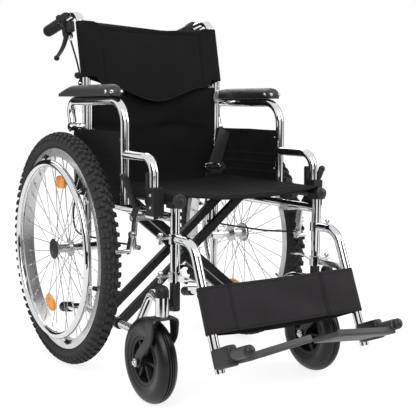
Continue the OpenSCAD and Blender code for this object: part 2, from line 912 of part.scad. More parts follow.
module brake_lever()
    color("#101012")
        on_handle() {
            along_x(-6, 6) {
                bar2d(brake_pivot, brake_bend, 10);
                bar2d(brake_bend, brake_tip, 8);
            }
            disc_x(-9, 9, brake_pivot.x, brake_pivot.y, 3);
            translate([0, brake_tip.x, brake_tip.y])
                sphere(8);
        }

// Rear wheel, pushed rim first
module tyre() {
    r = tyre_w / 2;
    centre = wheel_r - r;
    neck = rim_w / 2 - rim_wall - soft_gap;
    bead_h = 3.4;
    bead_w = 4;
    bead_reach = 7;
    wall_top = centre - sqrt(pow(r - tyre_wall, 2) - pow(neck + bead_reach - bead_w / 2, 2));
    color("#121213")
        turned(wheel_x, axle_y, axle_z)
            union() {
                intersection() {
                    translate([centre, 0])
                        difference() {
                            circle(r, $fn = 96);
                            circle(r - tyre_wall, $fn = 96);
                        }
                    translate([rim_r + soft_gap, -tyre_w])
                        square([wheel_r, 2 * tyre_w]);
                }
                for (s = [0, 1])
                    mirror([0, s]) {
                        translate([rim_r + soft_gap, neck - bead_w])
                            square([bead_h, bead_w + bead_reach]);
                        translate([rim_r + soft_gap, neck + bead_reach - bead_w])
                            square([max(bead_h, wall_top - rim_r), bead_w]);
                        translate([rim_r - rim_well + soft_gap, neck - bead_w])
                            square([rim_well + 2, bead_w]);
                    }
            }
}

module rim()
    color("lightgray")
        turned(wheel_x, axle_y, axle_z)
            difference() {
                translate([rim_in_r, -rim_w / 2])
                    square([rim_depth, rim_w]);
                translate([rim_r - rim_well, -rim_w / 2 + rim_wall])
                    square([rim_depth, rim_w - 2 * rim_wall]);
                translate([rim_in_r + rim_wall, -rim_w / 2 + rim_wall])
                    square([rim_depth - rim_well - 2 * rim_wall, rim_w - 2 * rim_wall]);
            }

module hub()
    color("silver")
        turned(wheel_x, axle_y, axle_z)
            difference() {
                union() {
                    translate([0, -hub_w / 2])
                        square([hub_barrel_d / 2, hub_w]);
                    for (s = [-1, 1])
                        translate([0, s * (hub_w / 2 - 2) - 2])
                            square([hub_flange_d / 2, 4]);
                    translate([0, hub_w / 2])
                        square([hub_flange_d / 2 - 3, 3]);
                }
                translate([0, -hub_w / 2 - 1])
                    square([axle_d / 2 + run_fit, hub_w - 1]);
            }

// Spokes lean forwards and backwards in turn, on either flange
module spokes() {
    lean = 25;
    heads = 3;
    hub_r = hub_flange_d / 2 - 3;
    color("gainsboro")
        translate([wheel_x, axle_y, axle_z])
            for (i = [0:spoke_count - 1]) {
                flange = i % 2 == 0 ? 1 : -1;
                way = floor(i / 2) % 2 == 0 ? 1 : -1;
                a = 360 * i / spoke_count;
                b = a + way * lean;
                rod(
                    [flange * (hub_w / 2 - 2) - flange * (way + 1) * heads, hub_r * cos(b), hub_r * sin(b)],
                    [flange * 2, (rim_in_r + 1) * cos(a), (rim_in_r + 1) * sin(a)],
                    spoke_d / 2
                );
            }
}

module handrim() {
    r = handrim_d / 2;
    color("whitesmoke") {
        turned(wheel_x + handrim_offset, axle_y, axle_z)
            translate([r, 0])
                circle(handrim_tube_d / 2);
        translate([wheel_x, axle_y, axle_z])
            for (k = [0:handrim_tab_count - 1])
                rotate([360 * k / handrim_tab_count + 15, 0, 0])
                    rod(
                        [rim_w / 2 - 1, rim_in_r + 8, 0],
                        [handrim_offset, r + 2, 0],
                        4
                    );
    }
}

// Caster: fork with stem and axle bolt, hub with spokes, tyre with tread grooves
module caster_fork() {
    knee = [head_y + 4, caster_z + 62];
    color("#1a1a1c")
        translate([head_x, 0, 0]) {
            translate([0, head_y, crown_z])
                cylinder(h = head_z + head_tube_h - 4 - crown_z, d = stem_d);
            translate([0, head_y, crown_z + crown_t])
                cylinder(h = soft_gap / 2, d = head_tube_d);
            block(
                [-fork_outer, head_y - 17, crown_z],
                [fork_outer, head_y + 17, crown_z + crown_t]
            );
            for (s = [-1, 1])
                translate([s * (fork_inner + fork_leg_t / 2), 0, 0])
                    along_x(-fork_leg_t / 2, fork_leg_t / 2) {
                        bar2d([head_y, crown_z - 2], knee, fork_leg_w);
                        bar2d(knee, [caster_y, caster_z], fork_leg_w);
                    }
            disc_x(-fork_outer - 5, fork_outer + 5, caster_y, caster_z, caster_axle_d / 2);
            for (s = [-1, 1])
                translate([s * (fork_outer + 3), 0, 0])
                    disc_x(-3, 3, caster_y, caster_z, caster_axle_d / 2 + 3);
        }
}

module caster_hub() {
    r = caster_hub_d / 2;
    boss_r = caster_axle_d / 2 + 8;
    spoke_n = 6;
    color("#232325")
        difference() {
            union() {
                turned(head_x, caster_y, caster_z)
                    union() {
                        translate([r - 9, -caster_w / 2 + 6])
                            square([9, caster_w - 12]);
                        translate([0, -caster_w / 2 - 4])
                            square([boss_r, caster_w + 8]);
                        translate([0, -2])
                            square([r - 2, 4]);
                    }
                translate([head_x, caster_y, caster_z])
                    for (k = [0:spoke_n - 1])
                        rotate([360 * k / spoke_n, 0, 0])
                            block([-caster_w / 2 + 8, boss_r - 3, -3], [caster_w / 2 - 8, r - 6, 3]);
            }
            disc_x(
                head_x - caster_w, head_x + caster_w,
                caster_y, caster_z, caster_axle_d / 2 + run_fit
            );
        }
}

module caster_tyre() {
    r = caster_d / 2;
    w = caster_w / 2;
    in_r = caster_hub_d / 2;
    color("#141415")
        turned(head_x, caster_y, caster_z)
            difference() {
                union() {
                    translate([r - w, 0])
                        circle(w);
                    translate([in_r, -w + 5])
                        square([r - w - in_r, caster_w - 10]);
                }
                translate([0, -caster_w])
                    square([in_r, 2 * caster_w]);
                for (k = [-1, 0, 1])
                    translate([r - 4, k * 6 - 1])
                        square([9, 2]);
            }
}

// Hanger: hinge collars on the post, bent tube, lower stay and its rubber stop
module hanger()
    color("silver")
        difference() {
            union() {
                for (z = [hanger_low_z, hanger_z])
                    translate([hw, post_y, z - collar_h / 2])
                        cylinder(h = collar_h, r = collar_r);
                pipe(
                    [
                        [hw, post_y - tube_r - 1, hanger_z],
                        [hw, hanger_bend_y, hanger_z],
                        hanger_end
                    ],
                    [hanger_bend_r],
                    tube_r - 0.1
                );
                block(
                    [hw - 4, hanger_bend_y - stay_run, hanger_low_z - 7],
                    [hw + 4, post_y - tube_r - 1, hanger_low_z + 7]
                );
                rod(
                    [hw, hanger_bend_y - stay_run + 18, hanger_low_z - 4],
                    [hw + 16, hanger_bend_y - stay_run + 30, hanger_low_z - 4],
                    10
                );
            }
            translate([hw, post_y, post_foot_z])
                cylinder(h = post_top_z, r = tube_r + run_fit);
        }

// The foot frame: Z up along the sloping tube, -Y forwards along the plate's rod
module on_foot()
    translate(foot_origin)
        rotate([-hanger_lean, 0, 0])
            children();

module foot_clamp()
    color("#2a2a2c")
        on_foot()
            difference() {
                union() {
                    block(
                        [-tube_r - 6, -clamp_reach, -clamp_h / 2],
                        [tube_r + 6, tube_r + 5, clamp_h / 2]
                    );
                    rod([0, -clamp_reach + 2, 0], [0, -rod_end - 2, 0], plate_rod_d / 2);
                    rod([0, -rod_end, 0], [0, -rod_end - 2, 0], knuckle_r - 0.5);
                    intersection() {
                        translate([0, -rod_end + 3, 0])
                            sphere(knuckle_r + 0.5);
                        rod([0, -rod_end - 1, 0], [0, -rod_end - 20, 0], knuckle_r - 0.5);
                    }
                }
                translate([0, 0, -clamp_h])
                    cylinder(h = 2 * clamp_h, r = tube_r - 0.1 + run_fit);
            }

module footplate()
    color("#3a3b3d")
        on_foot()
            rotate([0, plate_rise, 0])
                difference() {
                    union() {
                        rod([0, -clamp_reach - 4, 0], [0, -plate_start - plate_d, 0], knuckle_r);
                        block(
                            [-plate_edge, -plate_start - plate_d, -knuckle_r - plate_t + 4],
                            [-plate_gap, -plate_start, -knuckle_r + 4]
                        );
                        block(
                            [-plate_gap - 1, -plate_start - plate_d, -knuckle_r - plate_t + 4],
                            [-2, -clamp_reach - 4, -knuckle_r + 4]
                        );
                        block(
                            [-plate_edge, -plate_start - plate_d, -knuckle_r + 3],
                            [-14, -plate_start - plate_d + 5, -knuckle_r + 8]
                        );
                    }
                    rod([0, 0, 0], [0, -rod_end - 20, 0], plate_rod_d / 2 + run_fit);
                }

// Cross brace from the right bottom rail to the left seat rail, and its mirror
module brace_half(step)
    color("#19191b")
        difference() {
            union() {
                for (y = brace_pairs) {
                    translate([0, y + step, 0])
                        along_y(-bar_t / 2, bar_t / 2)
                            bar2d([-hw, bottom_rail_z], brace_top, bar_h);
                    rod(
                        [-hw, y + step - bar_t / 2, bottom_rail_z],
                        [-hw, y + step + bar_t / 2, bottom_rail_z],
                        rail_r + sleeve_wall
                    );
                }
                rod([hw, rail_front_y, seat_rail_z], [hw, rail_back_y, seat_rail_z], rail_r);
                rail_cap();
            }
            rod([-hw, -axle_y, bottom_rail_z], [-hw, axle_y, bottom_rail_z], rail_r + run_fit);
            rod([0, -axle_y, brace_mid_z], [0, axle_y, brace_mid_z], brace_bolt_d / 2 + run_fit);
        }

// Domed end of a seat rail
module rail_cap() {
    dome_r = (pow(rail_cap_r, 2) + pow(rail_cap_t - 5, 2)) / (2 * (rail_cap_t - 5));
    rod([hw, rail_front_y, seat_rail_z], [hw, rail_front_y - 5, seat_rail_z], rail_cap_r);
    intersection() {
        translate([hw, rail_front_y - rail_cap_t + dome_r, seat_rail_z])
            sphere(dome_r);
        rod([hw, rail_front_y - 4, seat_rail_z], [hw, rail_front_y - 30, seat_rail_z], rail_cap_r - 0.1);
    }
}

module brace_bolts()
    color("silver")
        for (y = brace_pairs) {
            rod(
                [0, y - 2 * brace_step - 1, brace_mid_z],
                [0, y + 2 * brace_step + 1, brace_mid_z],
                brace_bolt_d / 2
            );
            for (s = [-1, 1])
                translate([0, y + s * (2 * brace_step + 3), 0])
                    rod([0, -2, brace_mid_z], [0, 2, brace_mid_z], brace_bolt_d / 2 + 4);
        }

// A sagging band between two edges at half width c, with its belly downwards
module band2d(c, sag, t) {
    r = (c * c + sag * sag) / (2 * sag);
    intersection() {
        translate([0, r - sag])
            difference() {
                circle(r + t, $fn = 256);
                circle(r, $fn = 256);
            }
        translate([-c, -sag - 3 * t])
            square([2 * c, 2 * sag + 4 * t]);
    }
}

// Seat sling: sags between the rails and wraps over their tops
module seat_sling() {
    wrap_in = rail_r + soft_gap;
    wrap_out = wrap_in + sling_wrap_t;
    color("#17171a")
        along_y(sling_front_y, rail_back_y - 2) {
            translate([0, seat_rail_z + wrap_in + sling_t])
                band2d(hw, sling_sag, sling_t);
            for (s = [-1, 1])
                translate([s * hw, seat_rail_z])
                    difference() {
                        circle(wrap_out);
                        circle(wrap_in);
                        translate([-2 * wrap_out, 4 - 4 * wrap_out])
                            square(4 * wrap_out);
                    }
        }
}

// Upper back: sleeves round the canes and a panel with a curved lower edge
module back_upper_panel() {
    wrap_in = tube_r + soft_gap;
    wrap_out = wrap_in + sleeve_cloth_t;
    top = (back_top_z - tilt_z) / cos(back_tilt);
    low = (back_flap_z - tilt_z) / cos(back_tilt);
    half_w = hw + wrap_out;
    edge_r = (half_w * half_w + flap_dip * flap_dip) / (2 * flap_dip);
    sleeve_top = top + sleeve_rise;
    color("#19191c")
        translate([0, cane_y, tilt_z])
            rotate([-back_tilt, 0, 0]) {
                for (s = [-1, 1])
                    translate([s * hw, 0, sleeve_foot])
                        linear_extrude(sleeve_top - sleeve_foot)
                            difference() {
                                circle(wrap_out);
                                circle(wrap_in);
                            }
                intersection() {
                    translate([0, 0, low - flap_dip])
                        linear_extrude(top - low + flap_dip)
                            translate([0, -wrap_out])
                                back_band2d(hw, panel_belly / 2, panel_t / 2);
                    translate([0, -half_w, low + edge_r])
                        rotate([-90, 0, 0])
                            cylinder(h = 2 * half_w, r = edge_r, $fn = 256);
                }
            }
}

// A band whose belly points to the rear, with straight ends at half width c
module back_band2d(c, belly, t)
    mirror([0, 1])
        translate([0, t / 2])
            band2d(c, belly, t);

// Lower back: hung between the canes, belly to the rear
module back_lower_panel()
    color("#151518")
        translate([0, cane_y, seat_rail_z + panel_foot])
            linear_extrude(back_hinge_z - panel_head - seat_rail_z - panel_foot)
                back_band2d(hw - tube_r - soft_gap, panel_belly, panel_t);

// Calf strap: one loop round both hangers
module calf_strap() {
    r_in = tube_r - 0.1 + soft_gap;
    color("#1b1b1d")
        translate([0, foot_origin.y, foot_origin.z])
            rotate([-hanger_lean, 0, 0])
                translate([0, 0, strap_low])
                    linear_extrude(strap_h)
                        difference() {
                            bar2d([-hw, 0], [hw, 0], 2 * (r_in + strap_t));
                            bar2d([-hw, 0], [hw, 0], 2 * r_in);
                        }
}

// A strap through sections, each a centre and the direction of its width
function strap_section(c, w, n, half, t) =
    [c - half * w - t * n, c + half * w - t * n, c + half * w + t * n, c - half * w + t * n];

module ribbon(centres, across, faces, half, t) {
    last = len(centres) - 1;
    pts = [for (i = [0:last]) each strap_section(centres[i], across[i], faces[i], half, t)];
    sides = [for (i = [0:last - 1]) for (k = [0:3]) each cord_side(i, k, 4)];
    far = 4 * last;
    ends = [[0, 1, 2], [0, 2, 3], [far, far + 2, far + 1], [far, far + 3, far + 2]];
    polyhedron(pts, concat(sides, ends));
}

// Lap belt: each half hangs from its cane, behind the seat, and turns up again at its slider
function belt_run(a, b, sag) =
    [for (k = [0:belt_steps])
        let (f = k / belt_steps) a + (b - a) * f - [0, sag * sin(180 * f), 0]];
function belt_across(a, b) = unit(cross(b - a, [0, 1, 0]));

module belt_strap(a, b, sag)
    ribbon(
        belt_run(a, b, sag),
        [for (k = [0:belt_steps]) belt_across(a, b)],
        [for (k = [0:belt_steps]) unit(cross(b - a, belt_across(a, b)))],
        belt_w / 2,
        belt_t
    );

module belt_half() {
    belt_strap(belt_top, belt_low, 3);
    belt_strap(belt_low + [4, 5.3, -4], belt_tail, -2);
    translate(belt_low - [0, 0, buckle.z / 2 + soft_gap])
        cube(buckle, center = true);
}

module lap_belt()
    color("#1f1f21") {
        left()
            belt_half();
        right()
            belt_half();
    }

right() side_frame();  // right_side_frame
left() side_frame();  // left_side_frame
right() rear_axle();  // right_rear_axle
left() rear_axle();  // left_rear_axle
right() frame_fittings();  // right_frame_fittings
left() frame_fittings();  // left_frame_fittings
right() lock_bracket();  // right_lock_bracket
left() lock_bracket();  // left_lock_bracket
right() brake_cable();  // right_brake_cable
left() brake_cable();  // left_brake_cable
right() arm_tube();  // right_arm_tube
left() arm_tube();  // left_arm_tube
right() arm_pad();  // right_arm_pad
left() arm_pad();  // left_arm_pad
right() skirt_guard();  // right_skirt_guard
left() skirt_guard();  // left_skirt_guard
right() arm_latch();  // right_arm_latch
left() arm_latch();  // left_arm_latch
right() back_cane();  // right_back_cane
left() back_cane();  // left_back_cane
right() push_grip();  // right_push_grip
left() push_grip();  // left_push_grip
right() brake_bracket();  // right_brake_bracket
left() brake_bracket();  // left_brake_bracket
right() brake_lever();  // right_brake_lever
left() brake_lever();  // left_brake_lever
right() tyre();  // right_tyre
left() tyre();  // left_tyre
right() rim();  // right_rim
left() rim();  // left_rim
right() spokes();  // right_spokes
left() spokes();  // left_spokes
right() hub();  // right_hub
left() hub();  // left_hub
right() handrim();  // right_handrim
left() handrim();  // left_handrim
right() caster_fork();  // right_caster_fork
left() caster_fork();  // left_caster_fork
right() caster_hub();  // right_caster_hub
left() caster_hub();  // left_caster_hub
right() caster_tyre();  // right_caster_tyre
left() caster_tyre();  // left_caster_tyre
right() hanger();  // right_hanger
left() hanger();  // left_hanger
right() foot_clamp();  // right_foot_clamp
left() foot_clamp();  // left_foot_clamp
right() footplate();  // right_footplate
left() footplate();  // left_footplate
right() lock_lever();  // right_lock_lever
left() lock_lever();  // left_lock_lever
right() lock_shoe();  // right_lock_shoe
left() lock_shoe();  // left_lock_shoe
brace_half(brace_step);  // brace_to_left_rail
right() brace_half(-brace_step);  // brace_to_right_rail
brace_bolts();
seat_sling();
back_upper_panel();
back_lower_panel();
calf_strap();
lap_belt();
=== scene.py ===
"""Folding all-terrain wheelchair: finishes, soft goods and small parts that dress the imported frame."""

import logging
import math
from dataclasses import dataclass
from enum import Enum
from typing import Callable, Sequence

import bmesh
import bpy
import numpy as np
from mathutils import Matrix, Vector, noise

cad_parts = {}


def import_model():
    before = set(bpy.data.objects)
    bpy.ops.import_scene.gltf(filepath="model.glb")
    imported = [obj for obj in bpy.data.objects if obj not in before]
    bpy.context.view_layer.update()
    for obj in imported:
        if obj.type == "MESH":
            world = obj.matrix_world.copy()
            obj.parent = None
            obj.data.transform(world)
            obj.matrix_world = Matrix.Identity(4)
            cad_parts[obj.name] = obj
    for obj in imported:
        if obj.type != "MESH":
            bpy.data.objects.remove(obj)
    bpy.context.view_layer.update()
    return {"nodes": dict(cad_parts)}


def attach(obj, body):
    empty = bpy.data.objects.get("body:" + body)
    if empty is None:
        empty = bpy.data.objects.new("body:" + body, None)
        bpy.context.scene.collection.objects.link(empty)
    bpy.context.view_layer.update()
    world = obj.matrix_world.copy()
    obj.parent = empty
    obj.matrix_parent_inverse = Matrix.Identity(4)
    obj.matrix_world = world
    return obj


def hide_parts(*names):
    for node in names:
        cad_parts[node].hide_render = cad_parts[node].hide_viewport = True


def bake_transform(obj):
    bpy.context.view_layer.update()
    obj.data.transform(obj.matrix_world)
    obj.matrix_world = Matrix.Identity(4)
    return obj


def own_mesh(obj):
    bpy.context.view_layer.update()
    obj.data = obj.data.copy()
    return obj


LOG = logging.getLogger("wheelchair")
MM = 0.001
UP = Vector((0, 0, 1))
ACROSS = Vector((1, 0, 0))
BACKWARD = Vector((0, 1, 0))
Pair = tuple[float, float]
Triple = tuple[float, float, float]

# Distance of the frame's tubes, rails, canes and hangers from the middle of the chair.
TUBE_X = 204.0
# Y and Z of the foot clamp on its hanger, and the hanger's lean in degrees.
HANGER_FOOT: Pair = (-404.06, 152.86)
HANGER_LEAN = 22.9
# Share of its width that the cloth keeps in the folded chair.
FOLD_KEEP = 0.279
# Pitch of the stitches, the share of it that a stitch fills, and the thread's width.
STITCH_PITCH, STITCH_SHARE, THREAD_WIDTH = 6 * MM, 0.66, 1.1 * MM
# Angle in degrees past which an edge stays sharp.
CREASE = 38.0


class Side(Enum):
    """A side of the chair, as the sign of its X."""

    RIGHT = -1
    LEFT = 1

    def of(self, piece: str) -> str:
        """Name of this side's node, body or piece."""
        return f"{self.name.lower()}_{piece}"

    def at(self, x: float, y: float, z: float) -> Vector:
        """A point of the left side in millimetres, as metres on this side."""
        return Vector((self.value * x, y, z)) * MM


class Grain(Enum):
    """Relief that a finish has under the eye."""

    POLISHED = "polished"
    PAINTED = "painted"
    MOULDED = "moulded"
    RUBBER = "rubber"
    LEATHER = "leather"
    WEAVE = "weave"
    WEBBING = "webbing"
    LENS = "lens"


class Graph:
    """Adds and links the nodes of one tree."""

    def __init__(self, tree: bpy.types.NodeTree) -> None:
        """Keeps the tree that the nodes go into."""
        self.tree = tree

    @classmethod
    def fresh(cls, owner: bpy.types.Material | bpy.types.World) -> "Graph":
        """Takes over the tree of a material or a world.

        Args:
            owner: The material or the world.

        Returns:
            Its tree, emptied.
        """
        owner.use_nodes = True
        owner.node_tree.nodes.clear()
        return cls(owner.node_tree)

    def add(
        self, kind: str, sockets: dict[str, object] | None = None, **settings: object
    ) -> bpy.types.Node:
        """Adds one node.

        Args:
            kind: The node's type name.
            sockets: Input name to a value, or to the output socket that feeds it.
            settings: Properties of the node itself.

        Returns:
            The new node.
        """
        node = self.tree.nodes.new(kind)
        for key, value in settings.items():
            setattr(node, key, value)
        for key, value in (sockets or {}).items():
            self.feed(node.inputs[key], value)
        return node

    def feed(self, socket: bpy.types.NodeSocket, value: object) -> None:
        """Links an output to a socket, or sets the socket's own value.

        Args:
            socket: The socket.
            value: An output socket, or a plain value.
        """
        if isinstance(value, bpy.types.NodeSocket):
            self.tree.links.new(value, socket)
        else:
            socket.default_value = value

    def math(
        self, operation: str, *values: object, kind: str = "ShaderNodeMath"
    ) -> bpy.types.NodeSocket:
        """Adds a Math node, or a Vector Math one.

        Args:
            operation: What it does.
            values: Its inputs in order.
            kind: The node's type name.

        Returns:
            Its result.
        """
        node = self.add(kind, operation=operation)
        for socket, value in zip(node.inputs, values):
            self.feed(socket, value)
        return node.outputs[0]

    def mix(self, share: object, first: bpy.types.Node, second: bpy.types.Node) -> bpy.types.NodeSocket:
        """Mixes the shaders of two nodes.

        Args:
            share: Share of the second one.
            first: The first node.
            second: The second node.

        Returns:
            The mixed shader.
        """
        node = self.add("ShaderNodeMixShader", {"Fac": share})
        self.feed(node.inputs[1], first.outputs[0])
        self.feed(node.inputs[2], second.outputs[0])
        return node.outputs[0]


@dataclass(frozen=True)
class Finish:
    """A surface: its colour and wear, its gloss and the relief of its grain."""

    name: str
    slot: str | None
    colour: Triple
    worn: Triple
    roughness: Pair
    grain: Grain
    pitch: float
    depth: float
    metallic: float = 0.0
    sheen: float = 0.0
    coat: float = 0.0
    shine: float = 0.5
    wear_size: float = 0.05

    def material(self) -> bpy.types.Material:
        """Builds the finish's material the first time it is asked for.

        Returns:
            The material.
        """
        made = bpy.data.materials.get(self.name)
        if made:
            return made
        made = bpy.data.materials.new(self.name)
        graph = Graph.fresh(made)
        where = graph.add("ShaderNodeTexCoord").outputs
        wear = graph.add(
            "ShaderNodeTexNoise",
            {"Vector": where["Object"], "Scale": 1 / self.wear_size, "Detail": 5.0, "Roughness": 0.6},
        ).outputs["Fac"]
        wear = graph.add(
            "ShaderNodeMapRange", {"Value": wear, "From Min": 0.35, "From Max": 0.7}
        ).outputs["Result"]
        tint = graph.add("ShaderNodeMix", {"Factor": wear}, data_type="RGBA")
        graph.feed(tint.inputs[6], (*self.colour, 1))
        graph.feed(tint.inputs[7], (*self.worn, 1))
        gloss = graph.add(
            "ShaderNodeMapRange",
            {"Value": wear, "To Min": self.roughness[0], "To Max": self.roughness[1]},
        ).outputs["Result"]
        bump = graph.add(
            "ShaderNodeBump",
            {"Height": self._height(graph, where), "Distance": self.depth, "Strength": 1.0},
        ).outputs["Normal"]
        shader = graph.add(
            "ShaderNodeBsdfPrincipled",
            {
                "Base Color": tint.outputs[2],
                "Roughness": gloss,
                "Normal": bump,
                "Metallic": self.metallic,
                "Sheen Weight": self.sheen,
                "Sheen Roughness": 0.45,
                "Coat Weight": self.coat,
                "Coat Roughness": 0.12,
                "Specular IOR Level": self.shine,
            },
        )
        graph.add("ShaderNodeOutputMaterial", {"Surface": shader.outputs[0]})
        return made

    def _height(self, graph: Graph, where: bpy.types.bpy_prop_collection) -> bpy.types.NodeSocket:
        """Builds the relief of the grain.

        Args:
            graph: The material's tree.
            where: Outputs of its Texture Coordinate node.

        Returns:
            The height, from 0 to 1.
        """
        scale = 1 / self.pitch
        if self.grain in (Grain.WEAVE, Grain.WEBBING):
            turn = math.pi / 4 if self.grain is Grain.WEBBING else 0.0
            bands = 2 * math.pi / 20 * scale  # a Wave texture at scale 1 has 20 bands in 2 pi
            flat = graph.add("ShaderNodeMapping", {"Vector": where["UV"], "Rotation": (0, 0, turn)})
            waves = [
                graph.add(
                    "ShaderNodeTexWave",
                    {"Vector": flat.outputs[0], "Scale": bands, "Distortion": 0.0},
                    bands_direction=way,
                ).outputs["Fac"]
                for way in "XY"
            ]
            return graph.math("MULTIPLY", *waves)
        if self.grain in (Grain.LEATHER, Grain.LENS):
            edge = graph.add(
                "ShaderNodeTexVoronoi",
                {"Vector": where["Object"], "Scale": scale, "Randomness": float(self.grain is Grain.LEATHER)},
                feature="DISTANCE_TO_EDGE",
            ).outputs["Distance"]
            return graph.add("ShaderNodeMapRange", {"Value": edge, "From Max": 0.3}).outputs["Result"]
        if self.grain is Grain.MOULDED:
            return graph.add(
                "ShaderNodeTexVoronoi", {"Vector": where["Object"], "Scale": scale}, feature="SMOOTH_F1"
            ).outputs["Distance"]
        detail = {Grain.POLISHED: 1.0, Grain.PAINTED: 2.0, Grain.RUBBER: 6.0}[self.grain]
        return graph.add(
            "ShaderNodeTexNoise", {"Vector": where["Object"], "Scale": scale, "Detail": detail}
        ).outputs["Fac"]


CHROME = Finish(
    "bright_chrome", "chrome_tube", (0.72, 0.73, 0.74), (0.66, 0.67, 0.69), (0.05, 0.11),
    Grain.POLISHED, 30 * MM, 0.02 * MM, metallic=1.0,
)
STEEL = Finish(
    "zinc_plated_steel", "bright_steel", (0.60, 0.60, 0.59), (0.50, 0.50, 0.49), (0.2, 0.34),
    Grain.PAINTED, 1.5 * MM, 0.01 * MM, metallic=1.0, wear_size=0.01,
)
ALLOY = Finish(
    "satin_alloy", "alloy", (0.66, 0.66, 0.66), (0.58, 0.58, 0.58), (0.26, 0.38),
    Grain.PAINTED, 0.8 * MM, 0.006 * MM, metallic=1.0, wear_size=0.03,
)
BLACK_PAINT = Finish(
    "black_powder_coat", "black_steel", (0.008, 0.008, 0.009), (0.014, 0.014, 0.015), (0.34, 0.46),
    Grain.PAINTED, 1.2 * MM, 0.02 * MM, shine=0.35,
)
BLACK_PLASTIC = Finish(
    "black_nylon", "black_plastic", (0.008, 0.008, 0.009), (0.014, 0.014, 0.015), (0.44, 0.56),
    Grain.MOULDED, 0.9 * MM, 0.03 * MM, shine=0.3,
)
GUARD_PLASTIC = Finish(
    "guard_sheet", "black_plastic", (0.005, 0.005, 0.0055), (0.009, 0.009, 0.0095), (0.66, 0.78),
    Grain.MOULDED, 0.9 * MM, 0.03 * MM, shine=0.14,
)
GREY_PLASTIC = Finish(
    "grey_nylon", "grey_plastic", (0.04, 0.0425, 0.044), (0.056, 0.0585, 0.06), (0.42, 0.54),
    Grain.MOULDED, 1.0 * MM, 0.04 * MM, shine=0.4,
)
CLAMP_PLASTIC = Finish(
    "charcoal_nylon", "black_steel", (0.014, 0.014, 0.0154), (0.022, 0.022, 0.0235), (0.38, 0.5),
    Grain.MOULDED, 1.0 * MM, 0.04 * MM, shine=0.34,
)
RUBBER = Finish(
    "soft_black_rubber", "rubber", (0.008, 0.008, 0.008), (0.015, 0.015, 0.015), (0.55, 0.7),
    Grain.RUBBER, 1.5 * MM, 0.05 * MM, shine=0.3,
)
TREAD = Finish(
    "tyre_rubber", "tyre_rubber", (0.0062, 0.0062, 0.0062), (0.012, 0.012, 0.012), (0.58, 0.74),
    Grain.RUBBER, 2.0 * MM, 0.08 * MM, shine=0.24, wear_size=0.02,
)
CASTER_RUBBER = Finish(
    "caster_rubber", "tyre_rubber", (0.005, 0.005, 0.0054), (0.009, 0.009, 0.0096), (0.3, 0.42),
    Grain.RUBBER, 2.0 * MM, 0.05 * MM, shine=0.36, wear_size=0.03,
)
PAD_SKIN = Finish(
    "pad_skin", "pad", (0.012, 0.012, 0.0125), (0.018, 0.018, 0.0185), (0.4, 0.52),
    Grain.LEATHER, 2.2 * MM, 0.12 * MM, shine=0.5,
)
CLOTH = Finish(
    "black_nylon_cloth", "cloth", (0.005, 0.0047, 0.0055), (0.0085, 0.008, 0.009), (0.7, 0.84),
    Grain.WEAVE, 1.6 * MM, 0.12 * MM, sheen=0.012, shine=0.09, wear_size=0.12,
)
STRAP_CLOTH = Finish(
    "charcoal_strap_cloth", "cloth", (0.013, 0.0112, 0.0128), (0.02, 0.0175, 0.0195), (0.72, 0.86),
    Grain.WEAVE, 1.4 * MM, 0.12 * MM, sheen=0.08, shine=0.2, wear_size=0.09,
)
BINDING = Finish(
    "edge_binding", "cloth", (0.003, 0.003, 0.0034), (0.005, 0.005, 0.0056), (0.55, 0.7),
    Grain.WEAVE, 1.0 * MM, 0.1 * MM, shine=0.14,
)
THREAD = Finish(
    "sewing_thread", "cloth", (0.004, 0.004, 0.0044), (0.007, 0.007, 0.0076), (0.5, 0.65),
    Grain.PAINTED, 0.6 * MM, 0.05 * MM, shine=0.16,
)
WEBBING = Finish(
    "belt_webbing", "webbing", (0.024, 0.024, 0.026), (0.036, 0.036, 0.038), (0.55, 0.7),
    Grain.WEBBING, 2.0 * MM, 0.25 * MM, sheen=0.1, shine=0.3,
)
REFLECTOR = Finish(
    "amber_lens", None, (0.92, 0.27, 0.006), (1.0, 0.41, 0.014), (0.22, 0.32),
    Grain.LENS, 3.0 * MM, 0.4 * MM, coat=0.25,
)
SPOKE_STEEL = Finish(
    "spoke_steel", "bright_steel", (0.5, 0.5, 0.5), (0.42, 0.42, 0.42), (0.18, 0.3),
    Grain.PAINTED, 1.0 * MM, 0.005 * MM, metallic=1.0, wear_size=0.02,
)


